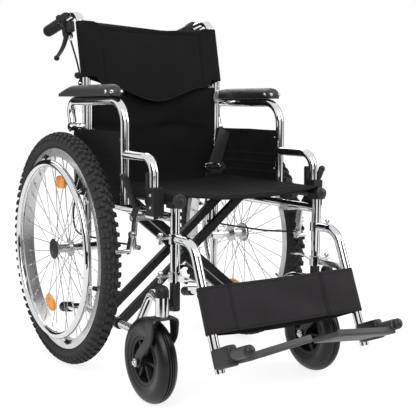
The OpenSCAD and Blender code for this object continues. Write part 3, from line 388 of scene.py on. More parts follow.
class Form:
    """A mesh in the making, in metres in the chair's frame."""

    def __init__(self) -> None:
        """Starts an empty mesh with one UV map."""
        self.bm = bmesh.new()
        self.uv = self.bm.loops.layers.uv.new("UVMap")

    def face(self, verts: Sequence[bmesh.types.BMVert], uvs: Sequence[Pair] = ()) -> None:
        """Adds one face, unless its corners have run together.

        Args:
            verts: Its corners.
            uvs: Its corners' UVs, if any.
        """
        if len(set(verts)) < 3:
            return
        made = self.bm.faces.new(verts)
        for loop, uv in zip(made.loops, uvs):
            loop[self.uv].uv = uv

    def loft(
        self,
        rings: Sequence[Sequence[Vector]],
        ring_closed: bool = True,
        path_closed: bool = False,
        caps: bool = True,
    ) -> "Form":
        """Joins rings of equal length with quads.

        Args:
            rings: Points of each ring, ring by ring.
            ring_closed: Whether a ring's last point joins its first.
            path_closed: Whether the last ring joins the first.
            caps: Whether the open ends get a face.

        Returns:
            This form.
        """
        count, size = len(rings), len(rings[0])
        verts = [[self.bm.verts.new(p) for p in ring] for ring in rings]
        across = run_lengths([rings[0][j % size] for j in range(size + ring_closed)])
        along = run_lengths([rings[i % count][0] for i in range(count + path_closed)])
        for i in range(count - 1 + path_closed):
            for j in range(size - 1 + ring_closed):
                corners = ((i, j), (i, j + 1), (i + 1, j + 1), (i + 1, j))
                self.face(
                    [verts[a % count][b % size] for a, b in corners],
                    [(across[b], along[a]) for a, b in corners],
                )
        if caps and not path_closed:
            self.face(verts[0][::-1])
            self.face(verts[-1])
        return self

    def turned(
        self,
        profile: Sequence[Pair],
        origin: Vector,
        axis: Vector,
        steps: int,
        closed: bool = False,
        unit: float = MM,
    ) -> "Form":
        """Turns a profile round an axis.

        Args:
            profile: Radius and place along the axis of each point, in units.
            origin: A point on the axis.
            axis: Direction of the axis.
            steps: Segments in one turn.
            closed: Whether the profile is a loop that stays off the axis.
            unit: Length of a unit, a millimetre unless said.

        Returns:
            This form.
        """
        along = axis.normalized()
        start = BACKWARD if abs(along.x) > 0.99 else along.orthogonal().normalized()
        rings = []
        for k in range(steps):
            out = Matrix.Rotation(math.tau * k / steps, 3, along) @ start
            rings.append([origin + out * (r * unit) + along * (a * unit) for r, a in profile])
        return self.loft(rings, ring_closed=closed, path_closed=True)

    def tube(self, points: Sequence[Vector], radius: float | Sequence[float], sides: int = 12) -> "Form":
        """Sweeps a round section along a line of points, with closed ends.

        Args:
            points: The line.
            radius: One radius, or one for each point.
            sides: Segments of the section.

        Returns:
            This form.
        """
        radii = [radius] * len(points) if isinstance(radius, (int, float)) else radius
        rings = []
        normal: Vector | None = None
        for i, point in enumerate(points):
            ahead = (points[min(i + 1, len(points) - 1)] - points[max(i - 1, 0)]).normalized()
            if normal is None:
                normal = ahead.orthogonal().normalized()
            normal = (normal - ahead * normal.dot(ahead)).normalized()
            side = ahead.cross(normal)
            rings.append([point + (normal * c + side * s) * radii[i] for c, s in oval(sides)])
        return self.loft(rings)

    def slab(
        self, surface: Callable[[float, float], Vector], steps: tuple[int, int], thickness: float
    ) -> "Form":
        """Makes a sheet of some thickness with a rounded border.

        Args:
            surface: Gives the sheet's outer face for two shares from 0 to 1.
            steps: Cells along each share.
            thickness: Distance from the outer face to the inner one.

        Returns:
            This form.
        """
        nu, nv = steps
        grid = [[surface(i / nu, j / nv) for j in range(nv + 1)] for i in range(nu + 1)]
        inner = []
        for i in range(nu + 1):
            row = []
            for j in range(nv + 1):
                du = grid[min(i + 1, nu)][j] - grid[max(i - 1, 0)][j]
                dv = grid[i][min(j + 1, nv)] - grid[i][max(j - 1, 0)]
                row.append(grid[i][j] - du.cross(dv).normalized() * thickness)
            inner.append(row)
        us = run_lengths([grid[i][nv // 2] for i in range(nu + 1)])
        vs = run_lengths([grid[nu // 2][j] for j in range(nv + 1)])
        top = [[self.bm.verts.new(p) for p in row] for row in grid]
        low = [[self.bm.verts.new(p) for p in row] for row in inner]
        for i in range(nu):
            for j in range(nv):
                cell = ((i, j), (i + 1, j), (i + 1, j + 1), (i, j + 1))
                uvs = [(us[a], vs[b]) for a, b in cell]
                self.face([top[a][b] for a, b in cell], uvs)
                self.face([low[a][b] for a, b in cell][::-1], uvs[::-1])
        border = [(i, 0) for i in range(nu)] + [(nu, j) for j in range(nv)]
        border += [(i, nv) for i in range(nu, 0, -1)] + [(0, j) for j in range(nv, 0, -1)]
        middle = {}
        for i, j in border:
            inside = grid[min(max(i, 1), nu - 1)][min(max(j, 1), nv - 1)]
            out = (grid[i][j] - inside).normalized() * thickness * 0.45
            middle[i, j] = self.bm.verts.new((grid[i][j] + inner[i][j]) / 2 + out)
        for (a, b), (c, d) in zip(border, border[1:] + border[:1]):
            uvs = [(us[a], vs[b]), (us[a], vs[b]), (us[c], vs[d]), (us[c], vs[d])]
            self.face([top[a][b], middle[a, b], middle[c, d], top[c][d]], uvs)
            self.face([middle[a, b], low[a][b], low[c][d], middle[c, d]], uvs)
        return self

    def block(self, low: Vector, high: Vector, bevel: float, segments: int = 3) -> "Form":
        """Adds a box with rounded edges.

        Args:
            low: Its lower corner.
            high: Its upper corner.
            bevel: Reach of the rounding from an edge.
            segments: Steps of the rounding.

        Returns:
            This form.
        """
        made = bmesh.ops.create_cube(self.bm, size=1.0)["verts"]
        size, centre = high - low, (high + low) / 2
        for v in made:
            v.co = Vector(c * abs(s) for c, s in zip(v.co, size)) + centre
        edges = list(dict.fromkeys(e for v in made for e in v.link_edges))
        bmesh.ops.bevel(
            self.bm, geom=edges, offset=bevel, segments=segments, profile=0.5, affect="EDGES"
        )
        return self

    def moved(self, change: Callable[[Vector], Vector]) -> "Form":
        """Moves every point by a rule.

        Args:
            change: Gives a point's new place.

        Returns:
            This form.
        """
        for v in self.bm.verts:
            v.co = change(v.co)
        return self

    def mesh(self, name: str) -> bpy.types.Mesh:
        """Closes seams and poles, turns the faces outwards and hands over the mesh.

        Args:
            name: The mesh's name.

        Returns:
            The finished mesh.
        """
        bmesh.ops.remove_doubles(self.bm, verts=self.bm.verts, dist=1e-6)
        bmesh.ops.dissolve_degenerate(self.bm, dist=1e-7, edges=self.bm.edges)
        bmesh.ops.recalc_face_normals(self.bm, faces=self.bm.faces)
        made = bpy.data.meshes.new(name)
        self.bm.to_mesh(made)
        self.bm.free()
        return made


def run_lengths(points: Sequence[Vector]) -> list[float]:
    """Distance run at each point of a line."""
    steps = [(b - a).length for a, b in zip(points, points[1:])]
    return [0.0, *np.cumsum(steps).tolist()]


def smooth_line(points: Sequence[Vector], per: int) -> list[Vector]:
    """Passes one smooth curve through a line's points.

    Args:
        points: The points to pass.
        per: Steps between two of them.

    Returns:
        Points of the curve.
    """
    ends = [2 * points[0] - points[1], *points, 2 * points[-1] - points[-2]]
    made = []
    for a, b, c, d in zip(ends, ends[1:], ends[2:], ends[3:]):
        for k in range(per):
            t = k / per
            bend, twist = 2 * a - 5 * b + 4 * c - d, 3 * b - a - 3 * c + d
            made.append(0.5 * (2 * b + (c - a) * t + bend * t * t + twist * t**3))
    return [*made, points[-1]]


def ease(share: float) -> float:
    """A smooth step from 0 to 1 for a share, held at both ends."""
    t = min(1.0, max(0.0, share))
    return t * t * (3 - 2 * t)


def ripple(place: Vector, size: float, height: float) -> float:
    """A soft unevenness at a place, the same each run."""
    return noise.noise(place / size) * height


def bell(x: float) -> float:
    """A smooth bump, 1 at 0 and next to nothing past 2."""
    return math.exp(-(x**2))


def quarter(share: float) -> float:
    """Rise of a quarter circle for a share, held at its end."""
    return math.sqrt(1 - (1 - min(share, 1.0)) ** 2)


def oval(steps: int, power: float = 1.0) -> list[Pair]:
    """Draws a unit circle, which squares up as the power falls below 1.

    Args:
        steps: How many points.
        power: 1 for a circle.

    Returns:
        The points.
    """
    turns = [math.tau * step / steps for step in range(steps)]
    return [
        tuple(math.copysign(abs(c) ** power, c) for c in (math.cos(turn), math.sin(turn))) for turn in turns
    ]


def mirrored(half: list[Pair]) -> list[Pair]:
    """A closed profile from its half, which starts on the mirror line."""
    return half + [(r, -a) for r, a in half[:0:-1]]


def tipped(x: float, y: float, z: float, origin: Pair, degrees: float) -> Vector:
    """Places a point of a frame that is tipped about X.

    Args:
        x: Place across the chair.
        y: Place along the tipped frame's own Y.
        z: Place along the tipped frame's own Z.
        origin: Y and Z of the tipped frame's origin.
        degrees: How far its Z leans backwards.

    Returns:
        The point in the chair's frame, in the same unit.
    """
    c, s = math.cos(math.radians(degrees)), math.sin(math.radians(degrees))
    return Vector((x, origin[0] + y * c + z * s, origin[1] - y * s + z * c))


def close_up(pieces: Sequence[bpy.types.Object], keep: float = FOLD_KEEP) -> None:
    """Gives each soft piece its own copy of its mesh."""
    for piece in pieces:
        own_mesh(piece)


class Recipe:
    """A Geometry Nodes tree with named inputs, run on a carrier and read back as a plain mesh."""

    def __init__(self, name: str, inputs: dict[str, str]) -> None:
        """Makes the tree's sockets.

        Args:
            name: The tree's name.
            inputs: Input name to socket type.
        """
        self.tree = bpy.data.node_groups.new(name, "GeometryNodeTree")
        self.graph = Graph(self.tree)
        make = self.tree.interface.new_socket
        make(name="Geometry", in_out="INPUT", socket_type="NodeSocketGeometry")
        self.keys = {
            label: make(name=label, in_out="INPUT", socket_type=f"NodeSocket{kind}").identifier
            for label, kind in {**inputs, "Finish": "Material"}.items()
        }
        make(name="Geometry", in_out="OUTPUT", socket_type="NodeSocketGeometry")
        self.given = self.graph.add("NodeGroupInput").outputs

    def close(self, points: object, instance: object, rotation: object) -> None:
        """Ends the tree: instances on points, realized, with their finish.

        Args:
            points: The points' socket.
            instance: The socket of what is repeated.
            rotation: The turn of each one, or None.
        """
        placed = self.graph.add(
            "GeometryNodeInstanceOnPoints", {"Points": points, "Instance": instance}
        )
        if rotation is not None:
            self.graph.feed(placed.inputs["Rotation"], rotation)
        solid = self.graph.add("GeometryNodeRealizeInstances", {"Geometry": placed.outputs[0]})
        dressed = self.graph.add(
            "GeometryNodeSetMaterial", {"Geometry": solid.outputs[0], "Material": self.given["Finish"]}
        )
        self.graph.add("NodeGroupOutput", {"Geometry": dressed.outputs[0]})

    def part(self) -> bpy.types.NodeSocket:
        """The geometry of the object given as Part."""
        return self.graph.add("GeometryNodeObjectInfo", {"Object": self.given["Part"]}).outputs["Geometry"]

    def run(
        self, carrier: bpy.types.Mesh, part: bpy.types.Mesh | None = None, **values: object
    ) -> bpy.types.Mesh:
        """Runs the tree once.

        Args:
            carrier: The mesh that the tree reads.
            part: The mesh that it repeats.
            values: Input name to value.

        Returns:
            The realized mesh.
        """
        holders = [bpy.data.objects.new("carrier", carrier)]
        if part is not None:
            holders.append(bpy.data.objects.new("part", part))
            values["Part"] = holders[1]
        for holder in holders:
            bpy.context.scene.collection.objects.link(holder)
        modifier = holders[0].modifiers.new(self.tree.name, "NODES")
        modifier.node_group = self.tree
        for label, value in values.items():
            modifier[self.keys[label]] = value
        seen = bpy.context.evaluated_depsgraph_get()
        made = bpy.data.meshes.new_from_object(holders[0].evaluated_get(seen), depsgraph=seen)
        holders[0].modifiers.remove(modifier)
        for holder in holders:
            bpy.data.objects.remove(holder)
        return made


class Workshop:
    """Makes finished pieces and repeats small parts with its recipes."""

    def __init__(self) -> None:
        """Builds the recipes: ring, row, scatter and stitches."""
        self.ring = Recipe("ring", {"Part": "Object", "Count": "Int", "Phase": "Float", "Centre": "Vector"})
        given, graph = self.ring.given, self.ring.graph
        points = graph.add("GeometryNodePoints", {"Count": given["Count"], "Position": given["Centre"]})
        index = graph.add("GeometryNodeInputIndex").outputs[0]
        turn = graph.math("DIVIDE", graph.math("MULTIPLY", index, 2 * math.pi), given["Count"])
        euler = graph.add("ShaderNodeCombineXYZ", {"X": graph.math("ADD", turn, given["Phase"])})
        spin = graph.add("FunctionNodeEulerToRotation", {"Euler": euler.outputs[0]})
        self.ring.close(points.outputs[0], self.ring.part(), spin.outputs[0])

        self.row = Recipe("row", {"Part": "Object", "Count": "Int", "Step": "Vector"})
        given, graph = self.row.given, self.row.graph
        index = graph.add("GeometryNodeInputIndex").outputs[0]
        repeat = graph.add("ShaderNodeCombineXYZ", {"X": index, "Y": index, "Z": index}).outputs[0]
        place = graph.math("MULTIPLY", repeat, given["Step"], kind="ShaderNodeVectorMath")
        points = graph.add("GeometryNodePoints", {"Count": given["Count"], "Position": place})
        self.row.close(points.outputs[0], self.row.part(), None)

        self.scatter = Recipe("scatter", {"Part": "Object"})
        facing = self.scatter.graph.add(
            "GeometryNodeInputNamedAttribute", {"Name": "facing"}, data_type="FLOAT_VECTOR"
        )
        aim = self.scatter.graph.add(
            "FunctionNodeAlignRotationToVector", {"Vector": facing.outputs[0]}, axis="Z"
        )
        self.scatter.close(self.scatter.given["Geometry"], self.scatter.part(), aim.outputs[0])

        self.sewing = Recipe("stitches", {"Pitch": "Float", "Length": "Float", "Width": "Float"})
        given, graph = self.sewing.given, self.sewing.graph
        line = graph.add("GeometryNodeMeshToCurve", {"Mesh": given["Geometry"]})
        spots = graph.add(
            "GeometryNodeCurveToPoints", {"Curve": line.outputs[0], "Length": given["Pitch"]}, mode="LENGTH"
        )
        thread = graph.add(
            "GeometryNodeMeshCylinder",
            {"Vertices": 6, "Radius": graph.math("DIVIDE", given["Width"], 2.0), "Depth": given["Length"]},
        )
        self.sewing.close(spots.outputs["Points"], thread.outputs["Mesh"], spots.outputs["Rotation"])

    def piece(
        self,
        name: str,
        made: Form | bpy.types.Mesh,
        finish: Finish,
        body: str | None,
        replaces: Sequence[str] = (),
        crease: float = CREASE,
    ) -> bpy.types.Object:
        """Makes one finished piece.

        Args:
            name: The piece's name.
            made: Its form, or its mesh.
            finish: Its surface.
            body: The body it rides on, or None for none.
            replaces: CAD nodes that it stands for.
            crease: Angle in degrees past which an edge stays sharp.

        Returns:
            The piece.
        """
        mesh = made.mesh(name) if isinstance(made, Form) else made
        mesh.name = name
        mesh.materials.clear()
        mesh.materials.append(finish.material())
        mesh.polygons.foreach_set("material_index", [0] * len(mesh.polygons))
        mesh.shade_smooth()
        mesh.set_sharp_from_angle(angle=math.radians(crease))
        piece = bpy.data.objects.new(name, mesh)
        bpy.context.scene.collection.objects.link(piece)
        if body:
            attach(piece, body)
        if replaces:
            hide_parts(*replaces)
        LOG.info("%s on %s: %d faces", name, body, len(mesh.polygons))
        return piece

    def ringed(
        self, name: str, part: Form, count: int, centre: Vector, phase: float, finish: Finish, body: str
    ) -> bpy.types.Object:
        """Repeats a part round an axis along X.

        Args:
            name: The piece's name.
            part: The part, about the origin, in its first place.
            count: How many there are.
            centre: A point on the axis.
            phase: Angle of the first one, in degrees.
            finish: Its surface.
            body: The body it rides on.

        Returns:
            The piece.
        """
        values = {"Count": count, "Centre": tuple(centre), "Phase": math.radians(phase)}
        return self._repeated(self.ring, name, part, finish, body, values)

    def rowed(
        self, name: str, part: Form, count: int, step: Vector, finish: Finish, body: str
    ) -> bpy.types.Object:
        """Repeats a part in a straight row from its own place.

        Args:
            name: The piece's name.
            part: The first of the row, in place.
            count: How many there are.
            step: From one to the next.
            finish: Its surface.
            body: The body it rides on.

        Returns:
            The piece.
        """
        return self._repeated(self.row, name, part, finish, body, {"Count": count, "Step": tuple(step)})

    def _repeated(
        self, recipe: Recipe, name: str, part: Form, finish: Finish, body: str, values: dict[str, object]
    ) -> bpy.types.Object:
        """Runs a recipe on a part and makes one piece of the result."""
        made = recipe.run(bpy.data.meshes.new(name), part.mesh(name), Finish=finish.material(), **values)
        return self.piece(name, made, finish, body)

    def screws(
        self, name: str, places: Sequence[tuple[Vector, Vector]], radius: float, finish: Finish, body: str
    ) -> bpy.types.Object:
        """Sets domed screw heads with a socket at places on a surface.

        Args:
            name: The piece's name.
            places: Point and outward direction of each screw.
            radius: Radius of a head.
            finish: Its surface.
            body: The body it rides on.

        Returns:
            The piece.
        """
        dome = [
            (0, 0.25), (0.38, 0.25), (0.44, 0.62), (0.7, 0.56), (0.92, 0.34), (1, 0.05), (1, -0.3), (0, -0.3),
        ]
        head = Form().turned(dome, Vector(), UP, 12, unit=radius)
        carrier = bpy.data.meshes.new(name)
        carrier.from_pydata([p for p, _ in places], [], [])
        facing = carrier.attributes.new("facing", "FLOAT_VECTOR", "POINT")
        facing.data.foreach_set("vector", [c for _, way in places for c in way])
        made = self.scatter.run(carrier, head.mesh(name), Finish=finish.material())
        return self.piece(name, made, finish, body)

    def stitches(
        self, name: str, lines: Sequence[Sequence[Vector]], finish: Finish, body: str
    ) -> bpy.types.Object:
        """Sews lines of stitches.

        Args:
            name: The piece's name.
            lines: Points of each line, on the cloth's face.
            finish: The thread's surface.
            body: The body it rides on.

        Returns:
            The piece.
        """
        points, edges = [], []
        for line in lines:
            first = len(points)
            points += [tuple(p) for p in line]
            edges += [(first + k, first + k + 1) for k in range(len(line) - 1)]
        carrier = bpy.data.meshes.new(name)
        carrier.from_pydata(points, edges, [])
        made = self.sewing.run(
            carrier, Pitch=STITCH_PITCH, Length=STITCH_SHARE * STITCH_PITCH, Width=THREAD_WIDTH,
            Finish=finish.material(),
        )
        return self.piece(name, made, finish, body)


@dataclass
class Studio:
    """Camera, light, floor and surroundings."""

    eye: Triple = (-1.16235, -1.82994, 0.67709)
    yaw: float = -33.150
    pitch: float = 6.804
    roll: float = 0.558
    focal_px: float = 845.4
    frame_px: float = 416.0
    sensor: float = 36.0
    ambient: float = 0.62
    floor_share: float = 0.3
    floor_glow: float = 1.17

    def camera(self) -> None:
        """Stands the camera where the photograph was taken from."""
        yaw, pitch, roll = (math.radians(a) for a in (self.yaw, self.pitch, self.roll))
        ahead = Vector(
            (-math.sin(yaw) * math.cos(pitch), math.cos(yaw) * math.cos(pitch), -math.sin(pitch))
        )
        level = ahead.cross(UP).normalized()
        raised = level.cross(ahead)
        right = level * math.cos(roll) + raised * math.sin(roll)
        upward = raised * math.cos(roll) - level * math.sin(roll)
        lens = bpy.data.cameras.new("camera")
        lens.sensor_width = self.sensor
        lens.lens = self.focal_px / self.frame_px * self.sensor
        lens.clip_start, lens.clip_end = 0.05, 60
        camera = bpy.data.objects.new("camera", lens)
        turn = Matrix((right, upward, -ahead)).transposed().to_4x4()
        camera.matrix_world = Matrix.Translation(self.eye) @ turn
        bpy.context.scene.collection.objects.link(camera)
        bpy.context.scene.camera = camera

    def seen(self, graph: Graph) -> bpy.types.NodeSocket:
        """Tells the rays that the eye, metal or glass sends from the light's own.

        Args:
            graph: The tree to add to.

        Returns:
            1 for the former, 0 for the latter.
        """
        path = graph.add("ShaderNodeLightPath").outputs
        both = graph.math("MAXIMUM", path["Is Camera Ray"], path["Is Glossy Ray"])
        return graph.math("MAXIMUM", both, path["Is Transmission Ray"])

    def world(self) -> None:
        """A white surround that lights at a plain level."""
        world = bpy.data.worlds.new("surround")
        bpy.context.scene.world = world
        graph = Graph.fresh(world)
        lit = graph.add("ShaderNodeBackground", {"Color": (1, 1, 1, 1), "Strength": self.ambient})
        white = graph.add("ShaderNodeBackground", {"Color": (1, 1, 1, 1), "Strength": 1.0})
        graph.add("ShaderNodeOutputWorld", {"Surface": graph.mix(self.seen(graph), lit, white)})

    def plane(self, name: str, centre: Triple, size: Pair, facing: Triple) -> bpy.types.Object:
        """Makes one flat panel of the stage.

        Args:
            name: The panel's name.
            centre: Its middle.
            size: Its width and height.
            facing: The way it faces.

        Returns:
            The panel.
        """
        way = Vector(facing).normalized()
        wide = UP.cross(way) if abs(way.z) < 0.9 else ACROSS
        wide = wide.normalized() * size[0] / 2
        tall = way.cross(wide).normalized() * size[1] / 2
        middle = Vector(centre)
        mesh = bpy.data.meshes.new(name)
        mesh.from_pydata(
            [middle - wide - tall, middle + wide - tall, middle + wide + tall, middle - wide + tall],
            [], [(0, 1, 2, 3)],
        )
        panel = bpy.data.objects.new(name, mesh)
        bpy.context.scene.collection.objects.link(panel)
        return panel

    def floor(self) -> None:
        """A pale floor that keeps the chair's shadow."""
        panel = self.plane("floor", (0, 0, 0), (30, 30), (0, 0, 1))
        made = bpy.data.materials.new("pale_floor")
        graph = Graph.fresh(made)
        matt = graph.add("ShaderNodeBsdfDiffuse", {"Color": (0.93, 0.93, 0.93, 1)})
        glow = graph.add("ShaderNodeEmission", {"Color": (1, 1, 1, 1), "Strength": self.floor_glow})
        share = graph.math("MULTIPLY", self.seen(graph), 1 - self.floor_share)
        graph.add("ShaderNodeOutputMaterial", {"Surface": graph.mix(share, matt, glow)})
        panel.data.materials.append(made)

    def flags(self) -> None:
        """Dark cards that only bright metal sees, for the lines along its tubes."""
        made = bpy.data.materials.new("dark_card")
        graph = Graph.fresh(made)
        dark = graph.add("ShaderNodeEmission", {"Color": (0.02, 0.02, 0.02, 1), "Strength": 1.0})
        graph.add("ShaderNodeOutputMaterial", {"Surface": dark.outputs[0]})
        cards = {
            "card_right": ((-1.75, -0.5, 0.75), (1.5, 1.5), (1, 0.2, 0)),
            "card_front": ((0.7, -1.95, 0.75), (1.4, 1.5), (-0.3, 1, 0)),
            "card_left": ((1.85, 0.4, 0.75), (1.7, 1.5), (-1, -0.2, 0)),
            "card_back": ((-0.35, 1.95, 0.75), (1.6, 1.5), (0, -1, 0)),
            "card_low": ((-1.8, -3.4, 0.35), (3.2, 0.3), (0.4, 1, 0)),
            "card_post": ((-0.89, -0.8, 0.17), (0.9, 0.34), (0.74, 0.67, 0)),
        }
        for name, (centre, size, facing) in cards.items():
            card = self.plane(name, centre, size, facing)
            card.data.materials.append(made)
            card.visible_camera = card.visible_diffuse = card.visible_shadow = False
            card.visible_transmission = card.visible_volume_scatter = False

    def lamp(self, name: str, place: Triple, size: float, power: float) -> None:
        """Hangs one soft square lamp that looks at the chair.

        Args:
            name: The lamp's name.
            place: Where it hangs.
            size: Its side.
            power: Its power in watts.
        """
        data = bpy.data.lights.new(name, "AREA")
        data.size, data.energy = size, power
        lamp = bpy.data.objects.new(name, data)
        lamp.location = place
        lamp.rotation_euler = (Vector((0, 0, 0.45)) - Vector(place)).to_track_quat("-Z", "Y").to_euler()
        bpy.context.scene.collection.objects.link(lamp)

    def build(self) -> None:
        """Sets the stage and its light."""
        self.camera()
        self.world()
        self.floor()
        self.flags()
        self.lamp("key_lamp", (-2.2, -2.4, 2.9), 2.4, 95)
        self.lamp("fill_lamp", (2.6, -1.6, 2.2), 2.0, 45)
        self.lamp("rim_lamp", (0.6, 2.6, 2.6), 2.0, 40)
        bpy.context.scene.view_settings.view_transform = "Standard"


@dataclass
class Group:
    """A group of pieces and the workshop that makes them."""

    shop: Workshop


@dataclass
class Sided(Group):
    """A group of pieces on one side of the chair."""

    side: Side

    def add(
        self,
        name: str,
        form: Form,
        finish: Finish,
        body: str,
        node: str = "",
        crease: float = CREASE,
    ) -> bpy.types.Object:
        """Makes one piece; its name, its body and the node it stands for are given without their side.

        Args:
            name: The piece's name.
            form: Its form.
            finish: Its surface.
            body: The body it rides on.
            node: The CAD node that it stands for, if any.
            crease: Angle in degrees past which an edge stays sharp.

        Returns:
            The piece.
        """
        nodes = [self.side.of(node)] if node else []
        return self.shop.piece(self.side.of(name), form, finish, self.side.of(body), nodes, crease)


@dataclass
class BrakeCable(Sided):
    """Brake cable of one side, from its lever down to its wheel lock."""

    diameter: float = 5 * MM
    sides: int = 10
    per: int = 6
    hinge_low: Triple = (TUBE_X, 254, 702)
    hinge_high: Triple = (TUBE_X, 270, 762)
    route: tuple[Triple, ...] = (
        (204, 331.3, 861.9), (204, 321, 846), (204, 306, 824), (204, 288, 797), (204, 271, 764),
        (204, 262, 734), (204, 254.5, 706), (204, 246.5, 680), (204, 242.4, 655), (204, 241.8, 630),
        (204, 241.8, 590), (204, 241.8, 545), (204.5, 244, 516), (206, 252, 484), (210, 272, 448),
        (214, 288, 414), (217, 290, 378), (220, 274, 350), (222, 246, 338), (222, 212, 336),
        (222, 170, 337), (222, 120, 339), (222, 60, 341), (222, 0, 344), (225, -46, 348),
        (232, -80, 351), (238, -105.4, 352),
    )

    def build(self) -> None:
        """Lays the cable."""
        line = smooth_line([self.side.at(*p) for p in self.route], self.per)
        cable = self.shop.piece(
            self.side.of("cable_housing"), Form().tube(line, self.diameter / 2, self.sides), RUBBER, None,
            [self.side.of("brake_cable")],
        )
        self.side.of("frame")
        self.side.of("cane")
        tuple(self.side.at(*self.hinge_low))
        tuple(self.side.at(*self.hinge_high))
        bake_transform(cable)
        tuple(line[0])
        run_lengths(line)[-1]
        [tuple(p) for p in line]


# Angle and radius of the reflectors on each wheel.
REFLECTOR_SPOTS = {Side.RIGHT: ((88, 174), (-62, 185)), Side.LEFT: ((93, 176), (-87, 160))}


@dataclass
class RearWheel(Sided):
    """One rear wheel: knobbly tyre, nipples, reflectors, valve, hub disc and the push rim's spacers."""

    plane: float = 279.0
    axle_y: float = 220.0
    axle_z: float = 305.0
    section_at: float = 278.0
    casing: float = 20.2
    tip: float = 27.0
    rim_edge: float = 263.0
    cells: int = 76
    side_ribs: tuple[int, ...] = (22, 23, 27, 28)
    rib: float = 0.8
    spokes: int = 36
    spoke_end: Pair = (2.0, 230.0)
    tabs: int = 6
    tab_phase: float = 15.0
    tab_foot: Pair = (15.0, 249.0)
    push_rim: Pair = (34.0, 227.0)
    reflector_size: Triple = (12.0, 34.0, 54.0)
    valve_angle: float = 205.0

    @property
    def centre(self) -> Vector:
        """Middle of the wheel."""
        return self.side.at(self.plane, self.axle_y, self.axle_z)

    def radial(self, across: float, out: float) -> Vector:
        """A point of a part in its first place on the wheel, about the wheel's middle."""
        return Vector((self.side.value * across, out, 0)) * MM

    def ringed(self, name: str, part: Form, count: int, phase: float, finish: Finish) -> None:
        """Repeats a part round the wheel."""
        self.shop.ringed(self.side.of(name), part, count, self.centre, phase, finish, self.side.of("wheel"))

    def knob(self, form: Form, along: float, angle: float, size: Pair, slant: float) -> None:
        """Adds one tread block to the first cell.

        Args:
            form: The cell.
            along: Place round the wheel, in millimetres of tread.
            angle: Place round the tyre's section, in degrees from its crown.
            size: Length along the tread and width across it.
            slant: Turn of the block on the tread, in degrees.
        """
        rings = []
        turn = Matrix.Rotation(math.radians(slant), 2)
        root, shoulder, top = (self.casing - 1.5, 1.08), (self.tip - 1.1, 0.96), (self.tip, 0.78)
        for height, share in (root, shoulder, top):
            ring = []
            for a, b in ((-1, -1), (1, -1), (1, 1), (-1, 1)):
                s, t = turn @ Vector((a * size[0] / 2 * share, b * size[1] / 2 * share))
                lean = math.radians(angle) + t / self.tip
                r = self.section_at + height * math.cos(lean)
                bend = (along + s) / (self.section_at + self.casing)
                ring.append(Vector((height * math.sin(lean), r * math.cos(bend), r * math.sin(bend))) * MM)
            rings.append(ring)
        form.loft(rings)

    def tyre(self) -> None:
        """Makes the casing with its side ribs, and the tread on it."""
        half = []
        for step in range(34):
            angle = math.radians(step * 4)
            r = self.casing + (self.rib if step in self.side_ribs else 0.0)
            half.append((self.section_at + r * math.cos(angle), r * math.sin(angle)))
        half += [(self.rim_edge + 0.4, 17.2), (self.rim_edge + 0.4, 11.8), (self.rim_edge - 9, 11.8)]
        casing = Form().turned(mirrored(half), self.centre, ACROSS, 120, closed=True)
        self.add("tyre_casing", casing, TREAD, "wheel", "tyre", 50)
        cell = Form()
        pitch = 2 * math.pi * (self.section_at + self.casing) / self.cells
        for way in (-1, 1):
            self.knob(cell, pitch / 2 + way * 2, way * 11, (14.0, 8.5), way * 22)
            self.knob(cell, 0, way * 33, (11.0, 9.0), way * -16)
            self.knob(cell, 0, way * 59, (10.5, 13.5), 0)
        self.ringed("tyre_tread", cell, self.cells, 0, TREAD)

    def nipples(self) -> None:
        """Sets a nipple at the outer end of each spoke."""
        across, out = self.spoke_end
        shape = [(0, 0), (1.2, 0), (1.7, 1), (1.7, 8), (2.6, 9), (2.6, 12), (0, 12)]
        for name, way, phase in (("outer", 1, 0.0), ("inner", -1, 360 / self.spokes)):
            part = Form().turned(shape, self.radial(way * across, out), BACKWARD, 8)
            self.ringed(f"nipples_{name}", part, self.spokes // 2, phase, STEEL)

    def spacers(self) -> None:
        """Slips a black spacer over each tab of the push rim."""
        rim, push = self.radial(*self.tab_foot), self.radial(*self.push_rim)
        shape = ((0.0, 4.8), (0.08, 5.6), (0.36, 5.6), (0.44, 4.8))
        part = Form().tube([rim.lerp(push, share) for share, _ in shape], [r * MM for _, r in shape], 14)
        self.ringed("rim_spacers", part, self.tabs, self.tab_phase, RUBBER)

    def reflectors(self) -> None:
        """Clips two amber reflectors between the spokes."""
        deep, tall, wide = (size / 2 for size in self.reflector_size)
        levels = ((-1, 0.86), (-0.75, 1), (0.6, 1), (0.95, 0.86), (1.12, 0.5), (1.16, 0.1))
        for number, (angle, radius) in enumerate(REFLECTOR_SPOTS[self.side]):
            turn = Matrix.Rotation(math.radians(angle), 3, "X")
            rings = []
            for level, share in levels:
                x = self.side.value * level * deep
                ring = [Vector((x, c * tall * share + radius, s * wide * share)) for c, s in oval(32, 0.75)]
                rings.append([turn @ p * MM + self.centre for p in ring])
            self.add(f"reflector_{number}", Form().loft(rings), REFLECTOR, "wheel")

    def hub_parts(self) -> None:
        """Adds the black hub disc and the tyre's valve."""
        disc = [(0, 29.0), (7, 29.0), (8, 28.2), (23, 27.6), (26, 26.8), (27, 25.4), (0, 25.4)]
        form = Form().turned(disc, self.centre, ACROSS * self.side.value, 40)
        self.add("hub_disc", form, BLACK_PLASTIC, "wheel")
        out = Matrix.Rotation(math.radians(self.valve_angle), 3, "X") @ BACKWARD
        stem = [
            (0, 215), (2.2, 215), (2.6, 216), (2.6, 222), (2.0, 222.5), (2.0, 228), (3.4, 229), (4.4, 242),
            (0, 242),
        ]
        self.add("valve", Form().turned(stem, self.centre, out, 12), RUBBER, "wheel")

    def build(self) -> None:
        """Makes every piece of the wheel."""
        self.tyre()
        self.nipples()
        self.spacers()
        self.reflectors()
        self.hub_parts()


